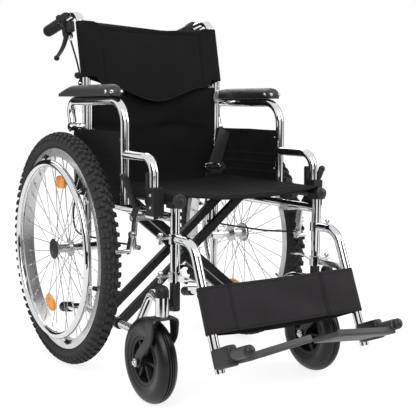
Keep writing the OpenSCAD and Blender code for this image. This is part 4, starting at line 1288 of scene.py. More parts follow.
@dataclass
class Caster(Sided):
    """One front caster: its bent fork, its ribbed tyre and the bolt heads on the fork."""

    plane: float = 240.0
    axle_y: float = -182.0
    radius: float = 100.0
    width: float = 48.0
    groove: float = 3.2
    hub_radius: float = 58.0
    fork_face: float = 41.0
    head_y: float = -235.0
    fork_half: float = 35.0
    fork_top: float = 213.0
    fork_bend: float = 15.0
    fork_foot: float = 88.0
    fork_sweep: float = 76.0
    fork_thick: float = 6.0
    leg_half: float = 10.4
    leg_growth: float = 5.6
    pin_half: float = 40.0

    @property
    def centre(self) -> Vector:
        """Middle of the wheel."""
        return self.side.at(self.plane, self.axle_y, self.radius)

    def strap(self, share: float) -> Pair:
        """Follows the fork's bent strap from one foot to the other.

        Args:
            share: Share of its length.

        Returns:
            The place's x from the fork's middle, and its z.
        """
        leg = self.fork_top - self.fork_bend - self.fork_foot
        arc = self.fork_bend * math.pi / 2
        flat = 2 * (self.fork_half - self.fork_bend)
        run = share * (2 * leg + 2 * arc + flat)
        half = leg + arc + flat / 2
        way, run = (-1, run) if run <= half else (1, 2 * half - run)
        if run <= leg:
            return way * self.fork_half, self.fork_foot + run
        if run <= leg + arc:
            turn = (run - leg) / self.fork_bend
            inset = self.fork_bend * (1 - math.cos(turn))
            return way * (self.fork_half - inset), self.fork_top - self.fork_bend * (1 - math.sin(turn))
        return way * (half - run), self.fork_top

    def fork_face_at(self, u: float, v: float) -> Vector:
        """Gives the outer face of the fork's strap.

        Args:
            u: Share along the strap.
            v: Share across it.

        Returns:
            The point in metres.
        """
        x, z = self.strap(u)
        back = self.head_y - self.axle_y
        up = (z - self.radius) / self.fork_sweep
        slope = back / self.fork_sweep * 6 * up * (1 - up) if 0 < up < 1 else 0.0
        half = (self.leg_half + self.leg_growth * ease((z - 150) / 50)) * math.sqrt(1 + slope * slope)
        drop = max(0.0, (self.radius - z) / (self.radius - self.fork_foot + 0.4))
        half *= math.sqrt(1 - drop * drop)
        y = self.axle_y + back * ease(up)
        return self.side.at(self.plane + x * self.side.value, y + half * (2 * v - 1), z)

    def fork(self) -> None:
        """Bends the fork from one strap whose legs sweep back to the axle."""
        form = Form().slab(self.fork_face_at, (96, 8), self.fork_thick * MM)
        stem = [(0, -6), (15, -6), (15, 1.2), (17, 1.4), (17, 2.2), (8, 2.4), (8, 60), (0, 60)]
        form.turned(stem, self.side.at(self.plane, self.head_y, self.fork_top), UP, 32)
        pin = [(0, -self.pin_half), (4.8, -self.pin_half), (4.8, self.pin_half), (0, self.pin_half)]
        form.turned(pin, self.centre, ACROSS, 20)
        self.add("fork_strap", form, BLACK_PAINT, "fork", "caster_fork", 40)

    def tyre(self) -> None:
        """Turns the tyre with its three tread grooves."""
        half_w = self.width / 2
        mid = self.radius - half_w

        def crown(across: float) -> float:
            """Radius of the tyre at a place across its crown."""
            return mid + math.sqrt(half_w**2 - across**2)

        floor = self.radius - self.groove
        half: list[Pair] = [(floor, 0.0), (floor, 0.8), *((crown(a), a) for a in (1.3, 3.0, 4.7))]
        half += [(crown(4.8) - self.groove, 5.2), (floor - 0.3, 6.8)]
        half += [(crown(a), a) for a in (7.3, 9.0, 10.7)]
        for step in range(11):
            angle = math.radians(24 + step * 8.5)
            half.append((mid + half_w * math.cos(angle), half_w * math.sin(angle)))
        half += [(70, 22.6), (64, 20.6), (self.hub_radius + 0.4, 19.0)]
        form = Form().turned(mirrored(half), self.centre, ACROSS, 96, closed=True)
        self.add("caster_ring", form, CASTER_RUBBER, "caster", "caster_tyre", 32)

    def bolts(self) -> None:
        """Puts a bolt head on each face of the fork."""
        head = [(0, 5.2), (3.6, 5.2), (5.6, 4.2), (6.6, 2.2), (6.8, 0.2), (9.6, 0), (9.6, -2), (0, -2)]
        for name, way in (("out", ACROSS), ("in", -ACROSS)):
            form = Form().turned(head, self.centre + way * self.fork_face * MM, way, 24)
            self.add(f"caster_bolt_{name}", form, STEEL, "fork")

    def build(self) -> None:
        """Makes every piece of the caster."""
        self.fork()
        self.tyre()
        self.bolts()


@dataclass
class Armrest(Sided):
    """One arm: its foam pad, the pad's bolts and the grooved skirt guard."""

    middle: float = 237.0
    pad_low: float = 701.3
    pad_high: float = 730.3
    pad_front: float = -18.0
    pad_back: float = 304.0
    pad_width: float = 38.0
    nose: float = 24.0
    nose_rise: float = 34.0
    tail: float = 16.0
    tail_fall: float = 92.0
    bolts_y: Pair = (-11.0, 10.0)
    bolts_z: float = 711.5
    skirt_x: float = 233.0
    skirt_low: float = 445.0
    skirt_high: float = 617.0
    skirt_front: float = -30.5
    skirt_back: float = 247.8
    skirt_thick: float = 4.0
    skirt_corner: float = 14.0
    skirt_screws: Triple = (468, 515, 598)
    groove_first: float = 66.0
    groove_pitch: float = 24.0
    groove_half: float = 2.6
    groove_deep: float = 1.3

    def pad(self) -> None:
        """Moulds the foam pad: flat underneath, crowned on top, rounded at both ends."""
        half = (
            (0, 1.0), (0.26, 0.99), (0.46, 0.95), (0.62, 0.88), (0.76, 0.78), (0.88, 0.66), (0.96, 0.56),
            (1, 0.47), (1, 0.12), (0.985, 0.04), (0.93, 0), (0.5, 0), (0, 0),
        )
        section = [*half, *((-x, z) for x, z in half[-2:0:-1])]
        rings = []
        for step in range(49):
            share = 0.5 - 0.5 * math.cos(math.pi * step / 48)
            y = self.pad_front + (self.pad_back - self.pad_front) * share
            width, height = self.pad_half(y)
            ring = [(self.middle + x * width, self.pad_low + z * height) for x, z in section]
            rings.append([self.side.at(x, y, z) for x, z in ring])
        pad = self.add("arm_cushion", Form().loft(rings), PAD_SKIN, "arm", "arm_pad", 60)
        bolts = []
        for y in self.bolts_y:
            width = self.pad_half(y)[0]
            slope = self.pad_half(y + 1)[0] - width
            for way in (-1, 1):
                out = Vector((way * self.side.value, -slope, 0)).normalized()
                bolts.append((self.side.at(self.middle + way * width, y, self.bolts_z), out))
        self.shop.screws(self.side.of("pad_bolts"), bolts, 5.0 * MM, STEEL, self.side.of("arm"))

    def pad_half(self, y: float) -> Pair:
        """Measures the pad at a place along it.

        Args:
            y: The place.

        Returns:
            Half of its width, and its height.
        """
        ahead, behind = max(y - self.pad_front, 0.0), max(self.pad_back - y, 0.0)
        fall = math.sin(math.pi / 2 * min(1.0, behind / self.tail_fall))
        rise = quarter(ahead / self.nose_rise)
        high = (self.pad_high - self.pad_low) * min(0.42 + 0.58 * rise, 0.3 + 0.7 * fall)
        wide = max(0.12, min(quarter(ahead / self.nose), 0.25 + 0.75 * quarter(behind / self.tail)))
        return self.pad_width / 2 * wide, high

    def skirt_face(self, u: float, v: float) -> Vector:
        """Gives the outer face of the skirt guard.

        Args:
            u: Share from front to back.
            v: Share upwards.

        Returns:
            The point in metres.
        """
        z = self.skirt_low + (self.skirt_high - self.skirt_low) * v
        above = max(0.0, z - (self.skirt_high - self.skirt_corner))
        inset = self.skirt_corner - math.sqrt(max(0.0, self.skirt_corner**2 - above**2))
        front = self.skirt_front + 0.8 * inset
        y = front + (self.skirt_back - inset - front) * u
        down = self.skirt_high - self.groove_first - z
        near = abs((down + self.groove_pitch / 2) % self.groove_pitch - self.groove_pitch / 2)
        edge = min(1.0, min(u, 1 - u) * 18)
        dip = self.groove_deep * max(0.0, 1 - (near / self.groove_half) ** 2) * edge if down > -4 else 0.0
        return self.side.at(self.skirt_x - dip, y, z)

    def skirt(self) -> None:
        """Presses the skirt guard with its level grooves, and screws it to the post."""
        form = Form().slab(self.skirt_face, (36, 96), self.side.value * self.skirt_thick * MM)
        self.add("skirt_panel", form, GUARD_PLASTIC, "arm", "skirt_guard", 30)
        places = []
        for z in self.skirt_screws:
            for x, way in ((self.skirt_x, 1), (self.skirt_x - self.skirt_thick, -1)):
                places.append((self.side.at(x, self.skirt_front + 7, z), ACROSS * way * self.side.value))
        self.shop.screws(self.side.of("skirt_screws"), places, 3.2 * MM, STEEL, self.side.of("arm"))

    def build(self) -> None:
        """Makes every piece of the arm."""
        self.pad()
        self.skirt()


@dataclass
class Handle(Sided):
    """Push handle of one cane: its ribbed grip, the brake's housing and lever, and the cable's adjuster."""

    corner: Pair = (266.2, 926.0)
    fall: float = 10.0
    length: float = 219.0
    grip: float = 96.0
    ribs: int = 8
    rib_margin: float = 13.0
    pivot: Pair = (38.0, 92.0)
    tip: Pair = (48.96, 82.56)
    lever_flat: float = 1.15
    ball: float = 8.0
    web: tuple[Triple, Triple] = ((54.0, 11.4, -8.0), (79.5, 41.0, 8.0))
    boss: tuple[Triple, Triple] = ((88.0, -13.0, 13.0), (107.0, 10.0, 24.0))

    @property
    def axis(self) -> Vector:
        """Direction of the handle, backwards."""
        return (self.point(1) - self.point(0)).normalized()

    def point(self, along: float, below: float = 0.0, out: float = 0.0) -> Vector:
        """A place on the handle.

        Args:
            along: Distance behind the corner.
            below: Distance under the handle's axis.
            out: Distance towards this side's outside.

        Returns:
            The point in metres.
        """
        return self.side.at(*tipped(TUBE_X + out, along, -below, self.corner, self.fall))

    def rubber(self) -> None:
        """Turns the grip's sleeve and its row of ribs."""
        start, end = self.length - self.grip, self.length
        sleeve = [
            (0, start), (11.4, start), (15.2, start), (16, start + 1.5), (16, start + 6), (14.6, start + 7.5),
            (13.0, start + 10), (13.0, end - 8), (15.4, end - 4), (15.6, end), (13.6, end + 3.4),
            (0, end + 4),
        ]
        form = Form().turned(sleeve, self.point(0), self.axis, 36)
        self.add("grip_sleeve", form, RUBBER, "cane", "push_grip")
        step = (self.grip - 2 * self.rib_margin) / (self.ribs - 1)
        rib = [(12.6, -3.6), (15.0, -3.0), (15.9, -1.6), (15.9, 1.6), (15.0, 3.0), (12.6, 3.6)]
        form = Form().turned(rib, self.point(start + self.rib_margin), self.axis, 36, closed=True)
        self.shop.rowed(
            self.side.of("grip_ribs"), form, self.ribs, self.axis * step * MM, RUBBER, self.side.of("cane")
        )

    def housing(self) -> None:
        """Moulds the brake's housing: a band round the tube, the web ahead of it and the bolt's boss."""
        form = Form()
        for low, high in (self.web, self.boss):
            form.block(Vector(low), Vector(high), 3.6)
        form.moved(lambda p: self.point(*p))
        band = [(16.05, 84.6), (18.6, 84.6), (19.6, 86), (19.6, 108), (18.6, 109.4), (16.05, 109.4)]
        form.turned(band, self.point(0), self.axis, 36, closed=True)
        self.add("brake_housing", form, BLACK_PLASTIC, "cane")

    def brake(self) -> None:
        """Shapes the brake lever with its ball end, and turns the cable's adjuster."""
        below, along = self.pivot
        tip_below, tip_along = below + self.tip[0], along + self.tip[1]
        knots = [
            (along - 6, below - 1, 5.2), (along, below, 6.4), (along + 24, below + 23, 5.6),
            (along + 47.3, below + 36, 5.0), (tip_along - 6, tip_below - 3, 4.6),
        ]
        line = smooth_line([self.point(a, b) for a, b, _ in knots], 6)
        radii = np.interp(np.linspace(0, len(knots) - 1, len(line)), range(len(knots)), [k[2] for k in knots])
        form = Form().tube(line, [r * MM for r in radii], 16)
        middle = self.side.value * TUBE_X * MM
        form.moved(lambda p: Vector((middle + (p.x - middle) * self.lever_flat, p.y, p.z)))
        turns = (math.pi * k / 12 for k in range(13))
        ball = [(self.ball * math.sin(a), -self.ball * math.cos(a)) for a in turns]
        form.turned(ball, self.point(tip_along, tip_below), ACROSS, 20)
        pin = [(0, -9.4), (4.2, -9.4), (4.8, -8.8), (4.8, 8.8), (4.2, 9.4), (0, 9.4)]
        form.turned(pin, self.point(along, below), ACROSS, 18)
        self.add("lever_blade", form, BLACK_PAINT, "brake_lever", "brake_lever")
        exit_at, ahead = (self.side.at(*p) for p in BrakeCable.route[:2])
        barrel = [(0, -9), (4.4, -9), (4.4, -3), (5.2, -2), (5.2, 6), (4.0, 7), (3.2, 13), (0, 13)]
        form = Form().turned(barrel, exit_at, ahead - exit_at, 16)
        self.add("cable_adjuster", form, STEEL, "cane")

    def build(self) -> None:
        """Makes every piece of the handle."""
        self.rubber()
        self.housing()
        self.brake()


@dataclass
class Seat(Group):
    """Seat sling between the two seat rails."""

    half: float = TUBE_X
    rail_z: float = 468.0
    wrap: float = 13.1
    wrap_turn: float = 96.0
    wrap_slack: float = 4.9
    top: float = 486.1
    sag: float = 14.0
    flat: float = 0.9
    front: float = -234.0
    back: float = 191.0
    thick: float = 5.0
    folds: tuple[Pair, ...] = ((0.24, 3.4), (0.62, 2.4))

    def section(self, share: float) -> Pair:
        """Gives the section of the sling's face.

        Args:
            share: Share of the sling's width.

        Returns:
            Place across the seat, and height.
        """
        side = math.copysign(1.0, share - 0.5)
        run = abs(share - 0.5) * 2
        if run <= self.flat:
            x = run / self.flat * (self.half - 2)
            radius = (self.half**2 + self.sag**2) / (2 * self.sag)
            return side * x, self.top - self.sag + radius - math.sqrt(radius**2 - x**2)
        turn = (run - self.flat) / (1 - self.flat) * math.radians(self.wrap_turn)
        reach = self.wrap + self.wrap_slack * max(0.0, 1 - turn / 1.2)
        x = self.half - 2 + reach * math.sin(turn) + 2 * min(1, turn)
        return side * x, self.rail_z + reach * math.cos(turn)

    def surface(self, u: float, v: float) -> Vector:
        """Gives the upper face of the sling.

        Args:
            u: Share across it.
            v: Share from front to back.

        Returns:
            The point in metres.
        """
        x, z = self.section(u)
        y = self.front + (self.back - self.front) * v
        behind, inward = y - self.front, self.half - abs(x)
        slack = math.cos(min(1.0, abs(x) / self.half) * math.pi / 2)
        lip = bell(v * 26)
        pull = 3.2 * bell((abs(x) - 168) / 26) * math.sin(y / 17 + 2.2 * v)
        give = noise.noise(Vector((x / 60, y / 75, 0.7))) * 2.2
        z += slack * (-3.5 * lip + give) + pull * 0.35 * slack
        z += 1.5 * bell((behind - 17) / 4.5) * min(1.0, 3 * slack)
        fade = ease((inward - 12) / 30) * ease((150 - inward) / 90)
        for rise, deep in self.folds:
            z -= deep * bell((behind - 14 - rise * inward) / (5 + 0.03 * inward)) * fade
        return Vector((x, y + slack * 7 * lip * (1 - v), z)) * MM

    def build(self) -> None:
        """Hangs the sling and sews its hems."""
        form = Form().slab(self.surface, (110, 70), self.thick * MM)
        sling = self.shop.piece("seat_cloth", form, CLOTH, "seat", ["seat_sling"], 70)
        width = run_lengths([self.surface(k / 60, 0.5) for k in range(61)])[-1]
        lift = UP * 0.3 * MM
        lines = [[self.surface(k / 80, v) + lift for k in range(6, 75)] for v in (0.035, 0.965)]
        lines += [[self.surface(u, 0.03 + 0.94 * k / 60) + lift for k in range(61)] for u in (0.075, 0.925)]
        thread = self.shop.stitches("seat_stitches", lines, THREAD, "seat")
        close_up((sling, thread))


@dataclass
class Back(Group):
    """Back upholstery: the upper panel sleeved on the canes and the lower panel between them."""

    half: float = TUBE_X
    cane_y: float = 228.0
    tilt_z: float = 755.0
    tilt: float = 12.6
    top: float = 135.0
    sleeve_top: float = 146.0
    sleeve_foot: float = -3.0
    low: float = -64.6
    rise: float = 20.0
    flare: float = 0.2
    sleeve: float = 14.4
    belly: float = 7.0
    seam: float = 155.0
    hem: float = 11.0
    corner: float = 24.0
    piping: float = 2.9
    lower_half: float = 191.8
    lower_low: float = 458.0
    lower_high: float = 733.0
    lower_thick: float = 4.5
    pocket: float = 628.0
    pocket_wave: float = 38.0
    lower_belly: float = 14.0
    lower_keep: float = 0.255

    def tilted(self, x: float, y: float, z: float) -> Vector:
        """A point of the tilted upper back in millimetres, as metres in the chair's frame."""
        return tipped(x, y, z, (self.cane_y, self.tilt_z), self.tilt) * MM

    def edge(self, x: float) -> float:
        """Gives the upper panel's curved lower edge.

        Args:
            x: Place across the back.

        Returns:
            The edge's height.
        """
        wide = abs(x)
        wave = self.rise * (1 - math.cos(math.pi * min(wide, self.seam) / self.seam))
        low = self.low + wave + self.flare * max(0.0, wide - self.seam)
        return low + (self.sleeve_foot - low) * ease((wide - self.seam - 6) / 24)

    def head(self, x: float) -> float:
        """Height of the upper panel's top, which is higher on the sleeves."""
        return self.top + (self.sleeve_top - self.top) * ease((abs(x) - self.seam + 4) / 22)

    def inset(self, x: float, z: float) -> float:
        """Measures inwards from the middle field's outline, whose upper corners are round.

        Args:
            x: Place across the back.
            z: Height of the place.

        Returns:
            Its distance from the outline.
        """
        across, down = self.seam + self.hem - abs(x), self.top - z
        if across < self.corner and down < self.corner:
            return self.corner - math.hypot(self.corner - across, self.corner - down)
        return min(across, down)

    def front_face(self, x: float, z: float) -> float:
        """Gives the upper panel's front face.

        Args:
            x: Place across the back.
            z: Height of the place.

        Returns:
            Its distance behind the canes' plane.
        """
        share = min(1.0, abs(x) / self.half)
        sink = self.belly * (1 - share**2)
        pucker = 3.0 * bell((self.inset(x, z) - self.hem) / 3.2)
        crease = ripple(Vector((x, 0.4, z * 0.55)), 55, 2.4) * (1 - share**4)
        crease += 1.3 * math.sin((z + 0.55 * abs(x)) / 15) * bell((abs(x) - self.seam - 18) / 16)
        return -self.sleeve + sink + pucker + crease

    def sewn(self, x: float, z: float) -> Vector:
        """A point just ahead of the upper panel's front face, for a seam."""
        return self.tilted(x, self.front_face(x, z) - 0.4, z)

    def outline(self) -> list[tuple[float, float, bool]]:
        """Draws half of the upper panel's section.

        Returns:
            For each point: place across, depth behind the face, and whether it is on the sleeve.
        """
        points = [(x, 0.0, False) for x in np.linspace(0, self.half - 10, 30)]
        for k in range(15):
            a = math.radians(-90 + 180 * k / 14)
            points.append((self.half + self.sleeve * math.cos(a), self.sleeve * math.sin(a), True))
        for k in range(1, 9):
            share = ease(k / 8)
            back = self.sleeve * (1 - share) + (self.belly * 0.4 - self.sleeve + 5) * share
            points.append((self.half - (self.half - self.seam + 6) * k / 8, back, True))
        return points + [(x, 4.0, False) for x in np.linspace(self.seam - 14, 0, 20)]

    def upper_ring(self, level: float) -> list[Vector]:
        """Draws the closed section of the upper panel.

        Args:
            level: Share of the panel's height.

        Returns:
            The section's points in metres.
        """
        half = self.outline()
        ring = []
        for way, points in ((1, half), (-1, half[-2:0:-1])):
            for x, y, sleeve in points:
                low = self.edge(x)
                z = low + (self.head(x) - low) * level
                ring.append(self.tilted(way * x, y if sleeve else self.front_face(x, z) + y, z))
        return ring

    def upper(self) -> None:
        """Makes the upper panel with its bound lower edge and seams."""
        levels = [0.0, 0.008, *np.linspace(0.03, 0.97, 34), 0.992, 1.0]
        form = Form().loft([self.upper_ring(level) for level in levels])
        panel = self.shop.piece("back_cloth_upper", form, CLOTH, "right_cane", ["back_upper_panel"], 60)

        def across(margin: float, count: int) -> np.ndarray:
            """Places across the panel, from a margin to the other."""
            return np.linspace(-self.half + margin, self.half - margin, count)

        edge = []
        for x in across(24, 81):
            z = self.edge(x)
            edge.append(self.tilted(x, self.front_face(x, z) + 1.6, z - 0.4))
        form = Form().tube(edge, self.piping * MM, 10)
        piping = self.shop.piece("back_piping", form, BINDING, "right_cane")
        seams = [[self.sewn(x, self.edge(x) + 7.0) for x in across(26, 90)]]
        for x in (-self.seam, self.seam):
            heights = np.linspace(self.edge(x) + 9, self.head(x) - 6, 50)
            seams += [[self.sewn(x + shift, z) for z in heights] for shift in (-2.5, 2.5)]
        seams.append([self.sewn(x, self.head(x) - 8) for x in across(10, 80)])
        thread = self.shop.stitches("back_stitches_upper", seams, THREAD, "right_cane")
        close_up((panel, piping, thread))

    def lower_surface(self, u: float, v: float) -> Vector:
        """Gives the front face of the lower panel.

        Args:
            u: Share across it.
            v: Share upwards.

        Returns:
            The point in metres.
        """
        x = self.lower_half * (2 * u - 1)
        share = abs(x) / self.lower_half
        low = self.lower_low + 6 * max(0.0, share - 0.86) ** 2 / 0.14**2
        z = low + (self.lower_high - low) * v
        wave = math.sin(x / self.pocket_wave)
        band = 3.0 / (1 + math.exp(-(z - self.pocket - 6 * wave) / 2.2))
        y = self.cane_y - 5.5 + self.lower_belly * (1 - share**2) - band * (1 - share**6)
        y += ripple(Vector((x, 2.0, z)), 60, 2.6) * (1 - share**4)
        y += 2.2 * bell((z - self.pocket + 8) / 18) * wave
        return Vector((x, y, z)) * MM

    def lower(self) -> None:
        """Hangs the lower panel and sews its pocket band."""
        form = Form().slab(self.lower_surface, (90, 80), -self.lower_thick * MM)
        panel = self.shop.piece("back_cloth_lower", form, CLOTH, "right_frame", ["back_lower_panel"], 60)
        skin = BACKWARD * 0.4 * MM
        lines = [[self.lower_surface(u, k / 50) - skin for k in range(2, 49)] for u in (0.03, 0.97)]
        lines += [[self.lower_surface(k / 80, v) - skin for k in range(3, 78)] for v in (0.035, 0.43)]
        thread = self.shop.stitches("back_stitches_lower", lines, THREAD, "right_frame")
        close_up((panel, thread), self.lower_keep)

    def build(self) -> None:
        """Makes both panels."""
        self.upper()
        self.lower()


@dataclass
class CalfStrap(Group):
    """Wide band round both hangers, sewn together near the left one."""

    half: float = TUBE_X
    radius: float = 14.2
    low: float = 52.0
    height: float = 102.0
    seam: float = 110.0
    lap: float = 5.0
    thick: float = 2.6

    def run(self, side: Side) -> float:
        """Length of one part's straight run, from its end to the hanger."""
        return self.half - side.value * self.seam + self.lap

    def path(self, side: Side, share: float) -> Pair:
        """Follows one part's line from its front end round the hanger to its rear end.

        Args:
            side: The part's side.
            share: Share of the line.

        Returns:
            Place across the chair, and depth from the hanger's axis.
        """
        run = self.run(side)
        bend = math.pi * self.radius
        along = share * (2 * run + bend)
        if along < run:
            return side.value * (self.half - run + along), -self.radius
        if along < run + bend:
            a = (along - run) / self.radius
            return side.value * (self.half + self.radius * math.sin(a)), -self.radius * math.cos(a)
        return side.value * (self.half - (along - run - bend)), self.radius

    def surface(self, side: Side, u: float, v: float) -> Vector:
        """Gives the outer face of one part.

        Args:
            side: The part's side.
            u: Share along it.
            v: Share upwards.

        Returns:
            The point in metres.
        """
        x, y = self.path(side, u)
        front = y < 0
        slack = max(0.0, 1 - (x / self.half) ** 2)
        z = self.low + self.height * v
        lap = 1.4 * ease((self.half - abs(x)) / 60) if side is Side.LEFT else 0.0
        give = ripple(Vector((x, y, z)), 70, 4.2) * slack + 1.2 * math.sin(z / 15 + x / 46) * slack
        if front:
            y += give + 3.0 * slack * math.cos((v - 0.5) * math.pi) - lap
        else:
            y += give * 0.5 + lap - 1.5 * slack
            z -= 9.0 * slack
        return tipped(x, y, z, HANGER_FOOT, HANGER_LEAN) * MM

    def lifted(self, side: Side, u: float, v: float) -> Vector:
        """A point just above the band's face, for a seam."""
        out = math.copysign(0.4, self.path(side, u)[1])
        return self.surface(side, u, v) + BACKWARD * out * MM

    def seam_shares(self, side: Side) -> Pair:
        """Tells where a part is sewn across.

        Args:
            side: The part's side.

        Returns:
            Two shares of its line.
        """
        run = self.run(side)
        whole = 2 * run + math.pi * self.radius
        first = 4 if side is Side.LEFT else run - 60
        return first / whole, (first + 5) / whole

    def build(self) -> None:
        """Makes the two parts of the band and their seams."""
        for side, steps in ((Side.RIGHT, 120), (Side.LEFT, 60)):
            length = run_lengths([self.surface(side, k / 120, 0.5) for k in range(121)])[-1]
            form = Form().slab(
                lambda u, v: self.surface(side, u, v), (steps, 24), side.value * self.thick * MM
            )
            body = side.of("hanger")
            part = self.shop.piece(side.of("calf_band"), form, STRAP_CLOTH, body, ["calf_strap"], 60)
            lines = [[self.lifted(side, k / 160, v) for k in range(1, 160)] for v in (0.05, 0.95)]
            for share in self.seam_shares(side):
                lines.append([self.lifted(side, share, 0.02 + 0.96 * k / 30) for k in range(31)])
            thread = self.shop.stitches(side.of("calf_stitches"), lines, THREAD, body)
            close_up((part, thread))


@dataclass
class LapBelt(Sided):
    """One half of the lap belt: webbing, its turned-up tail, buckle and slider."""

    top: Triple = (212.0, 207.0, 612.0)
    low: Triple = (165.0, 200.7, 494.0)
    tail: Triple = (206.0, 203.0, 520.0)
    turn_up: Triple = (4.0, 5.3, -4.0)
    left_ahead: float = 14.0
    width: float = 38.0
    thick: float = 1.6
    buckle: tuple[Triple, Triple] = ((-22.0, -6.0, -30.0), (22.0, 4.0, -1.0))
    slider: tuple[Pair, Pair] = ((-21.0, 14.0), (22.0, 23.0))
    slider_ahead: float = 5.4
    slider_wire: float = 1.9

    def strap(self, form: Form, a: Vector, b: Vector, sag: float, lift: float) -> None:
        """Adds a run of webbing.

        Args:
            form: The form it goes into.
            a: Middle of its first end.
            b: Middle of its last end.
            sag: How far it hangs forward in the middle.
            lift: How far it lies in front of its line.
        """
        wide = (b - a).cross(BACKWARD).normalized()

        def surface(u: float, v: float) -> Vector:
            """Gives the webbing's face.

            Args:
                u: Share along it.
                v: Share across it.

            Returns:
                The point in metres.
            """
            p = a.lerp(b, u) + wide * self.width * (v - 0.5)
            p.y -= sag * math.sin(math.pi * u) + lift + 1.2 * math.sin(2.4 * u + 3 * v)
            return self.side.at(*p)

        form.slab(surface, (28, 8), -self.side.value * self.thick * MM)

    def build(self) -> None:
        """Makes the webbing and its hardware."""
        form = Form()
        ahead = Vector((0, self.left_ahead if self.side is Side.LEFT else 0, 0))
        top, low, tail = (Vector(p) - ahead for p in (self.top, self.low, self.tail))
        self.strap(form, top, low, 3.0, 1.0)
        self.strap(form, low + Vector(self.turn_up), tail, -2.0, 0.5)
        self.shop.piece(self.side.of("belt_web"), form, WEBBING, self.side.of("frame"), ["lap_belt"], 50)
        case = Form().block(*(low + Vector(p) for p in self.buckle), 3.0)
        self.add("belt_buckle", case.moved(lambda p: self.side.at(*p)), BLACK_PLASTIC, "frame")
        (x0, z0), (x1, z1) = self.slider
        corners = ((x0, z0), (x1, z0), (x1, z1), (x0, z1), (x0, z0))
        loop = [self.side.at(low.x + x, low.y - self.slider_ahead, low.z + z) for x, z in corners]
        form = Form().tube(smooth_line(loop, 4), self.slider_wire * MM, 8)
        self.add("belt_slider", form, CHROME, "frame")


@dataclass
class FootRest(Sided):
    """One footrest: the clamp on the hanger and the footplate with its hinge barrel and ribs."""

    rise: float = 5.4
    width: Pair = (-168.0, -28.0)
    depth: Pair = (-117.0, -24.0)
    thick: Pair = (-20.5, -8.5)
    barrel: float = 12.5
    barrel_at: Pair = (-117.0, -70.0)
    clamp_low: Triple = (-12.4, -66.0, -22.0)
    clamp_high: Triple = (12.4, 4.0, 22.0)
    knob_at: float = -120.0
    ribs: int = 6
    rib_half: float = 1.4

    def place(self, p: Vector) -> Vector:
        """A point of the clamp's frame in millimetres, as metres in the chair's frame."""
        return self.side.at(*tipped(TUBE_X + p.x, p.y, p.z, HANGER_FOOT, HANGER_LEAN))

    def on_plate(self, p: Vector) -> Vector:
        """A point of the plate, which rises towards the middle, as metres in the chair's frame."""
        return self.place(Matrix.Rotation(math.radians(self.rise), 3, "Y") @ p)

    def plate(self) -> None:
        """Moulds the plate with its front lip and barrel, and the ribs on it."""
        (x0, x1), (y0, y1), (z0, z1) = self.width, self.depth, self.thick
        ahead, behind = self.barrel_at
        plate = Form().block(Vector((x0, y0, z0)), Vector((x1, y1, z1)), 4.0, 4)
        plate.block(Vector((x1 - 12, y0 + 0.4, z0 + 0.3)), Vector((-2, behind, z1 - 0.3)), 3.0)
        plate.block(Vector((x0 + 1, y0 + 0.5, z0 + 3)), Vector((-15, y0 + 7, z1 + 4)), 2.6)
        long, r = behind - ahead, self.barrel
        barrel = [(0, 0), (r - 1.5, 0), (r, 1.5), (r, long - 1.5), (r - 1.5, long), (0, long)]
        plate.turned(barrel, Vector((0, behind, 0)), -BACKWARD, 32, unit=1.0)
        self.add("foot_board", plate.moved(self.on_plate), GREY_PLASTIC, "footplate", "footplate")
        first = y0 + 16
        gap = (y1 - 8 - first) / (self.ribs - 1)
        low = Vector((x0 + 8, first - self.rib_half, z1 - 1))
        high = Vector((x1 - 4, first + self.rib_half, z1 + 1))
        rib = Form().block(low, high, 0.9, 2).moved(self.on_plate)
        step = self.on_plate(BACKWARD * gap) - self.on_plate(Vector())
        self.shop.rowed(
            self.side.of("foot_ribs"), rib, self.ribs, step, GREY_PLASTIC, self.side.of("footplate")
        )

    def clamp(self) -> None:
        """Moulds the clamp's block with its rod and end knob."""
        form = Form().block(Vector(self.clamp_low), Vector(self.clamp_high), 6.5, 4)
        ahead = self.clamp_low[1]
        knob = ((8, 0), (11, 0), (12, 1.5), (12, 5), (10.4, 8.6), (6.4, 11), (0, 12))
        rod = [(0, -2), (8, -2), *((r, ahead - self.knob_at + a) for r, a in knob)]
        form.turned(rod, Vector((0, ahead, 0)), -BACKWARD, 32, unit=1.0)
        self.add("clamp_block", form.moved(self.place), CLAMP_PLASTIC, "footrest", "foot_clamp")

    def build(self) -> None:
        """Makes every piece of the footrest."""
        self.plate()
        self.clamp()


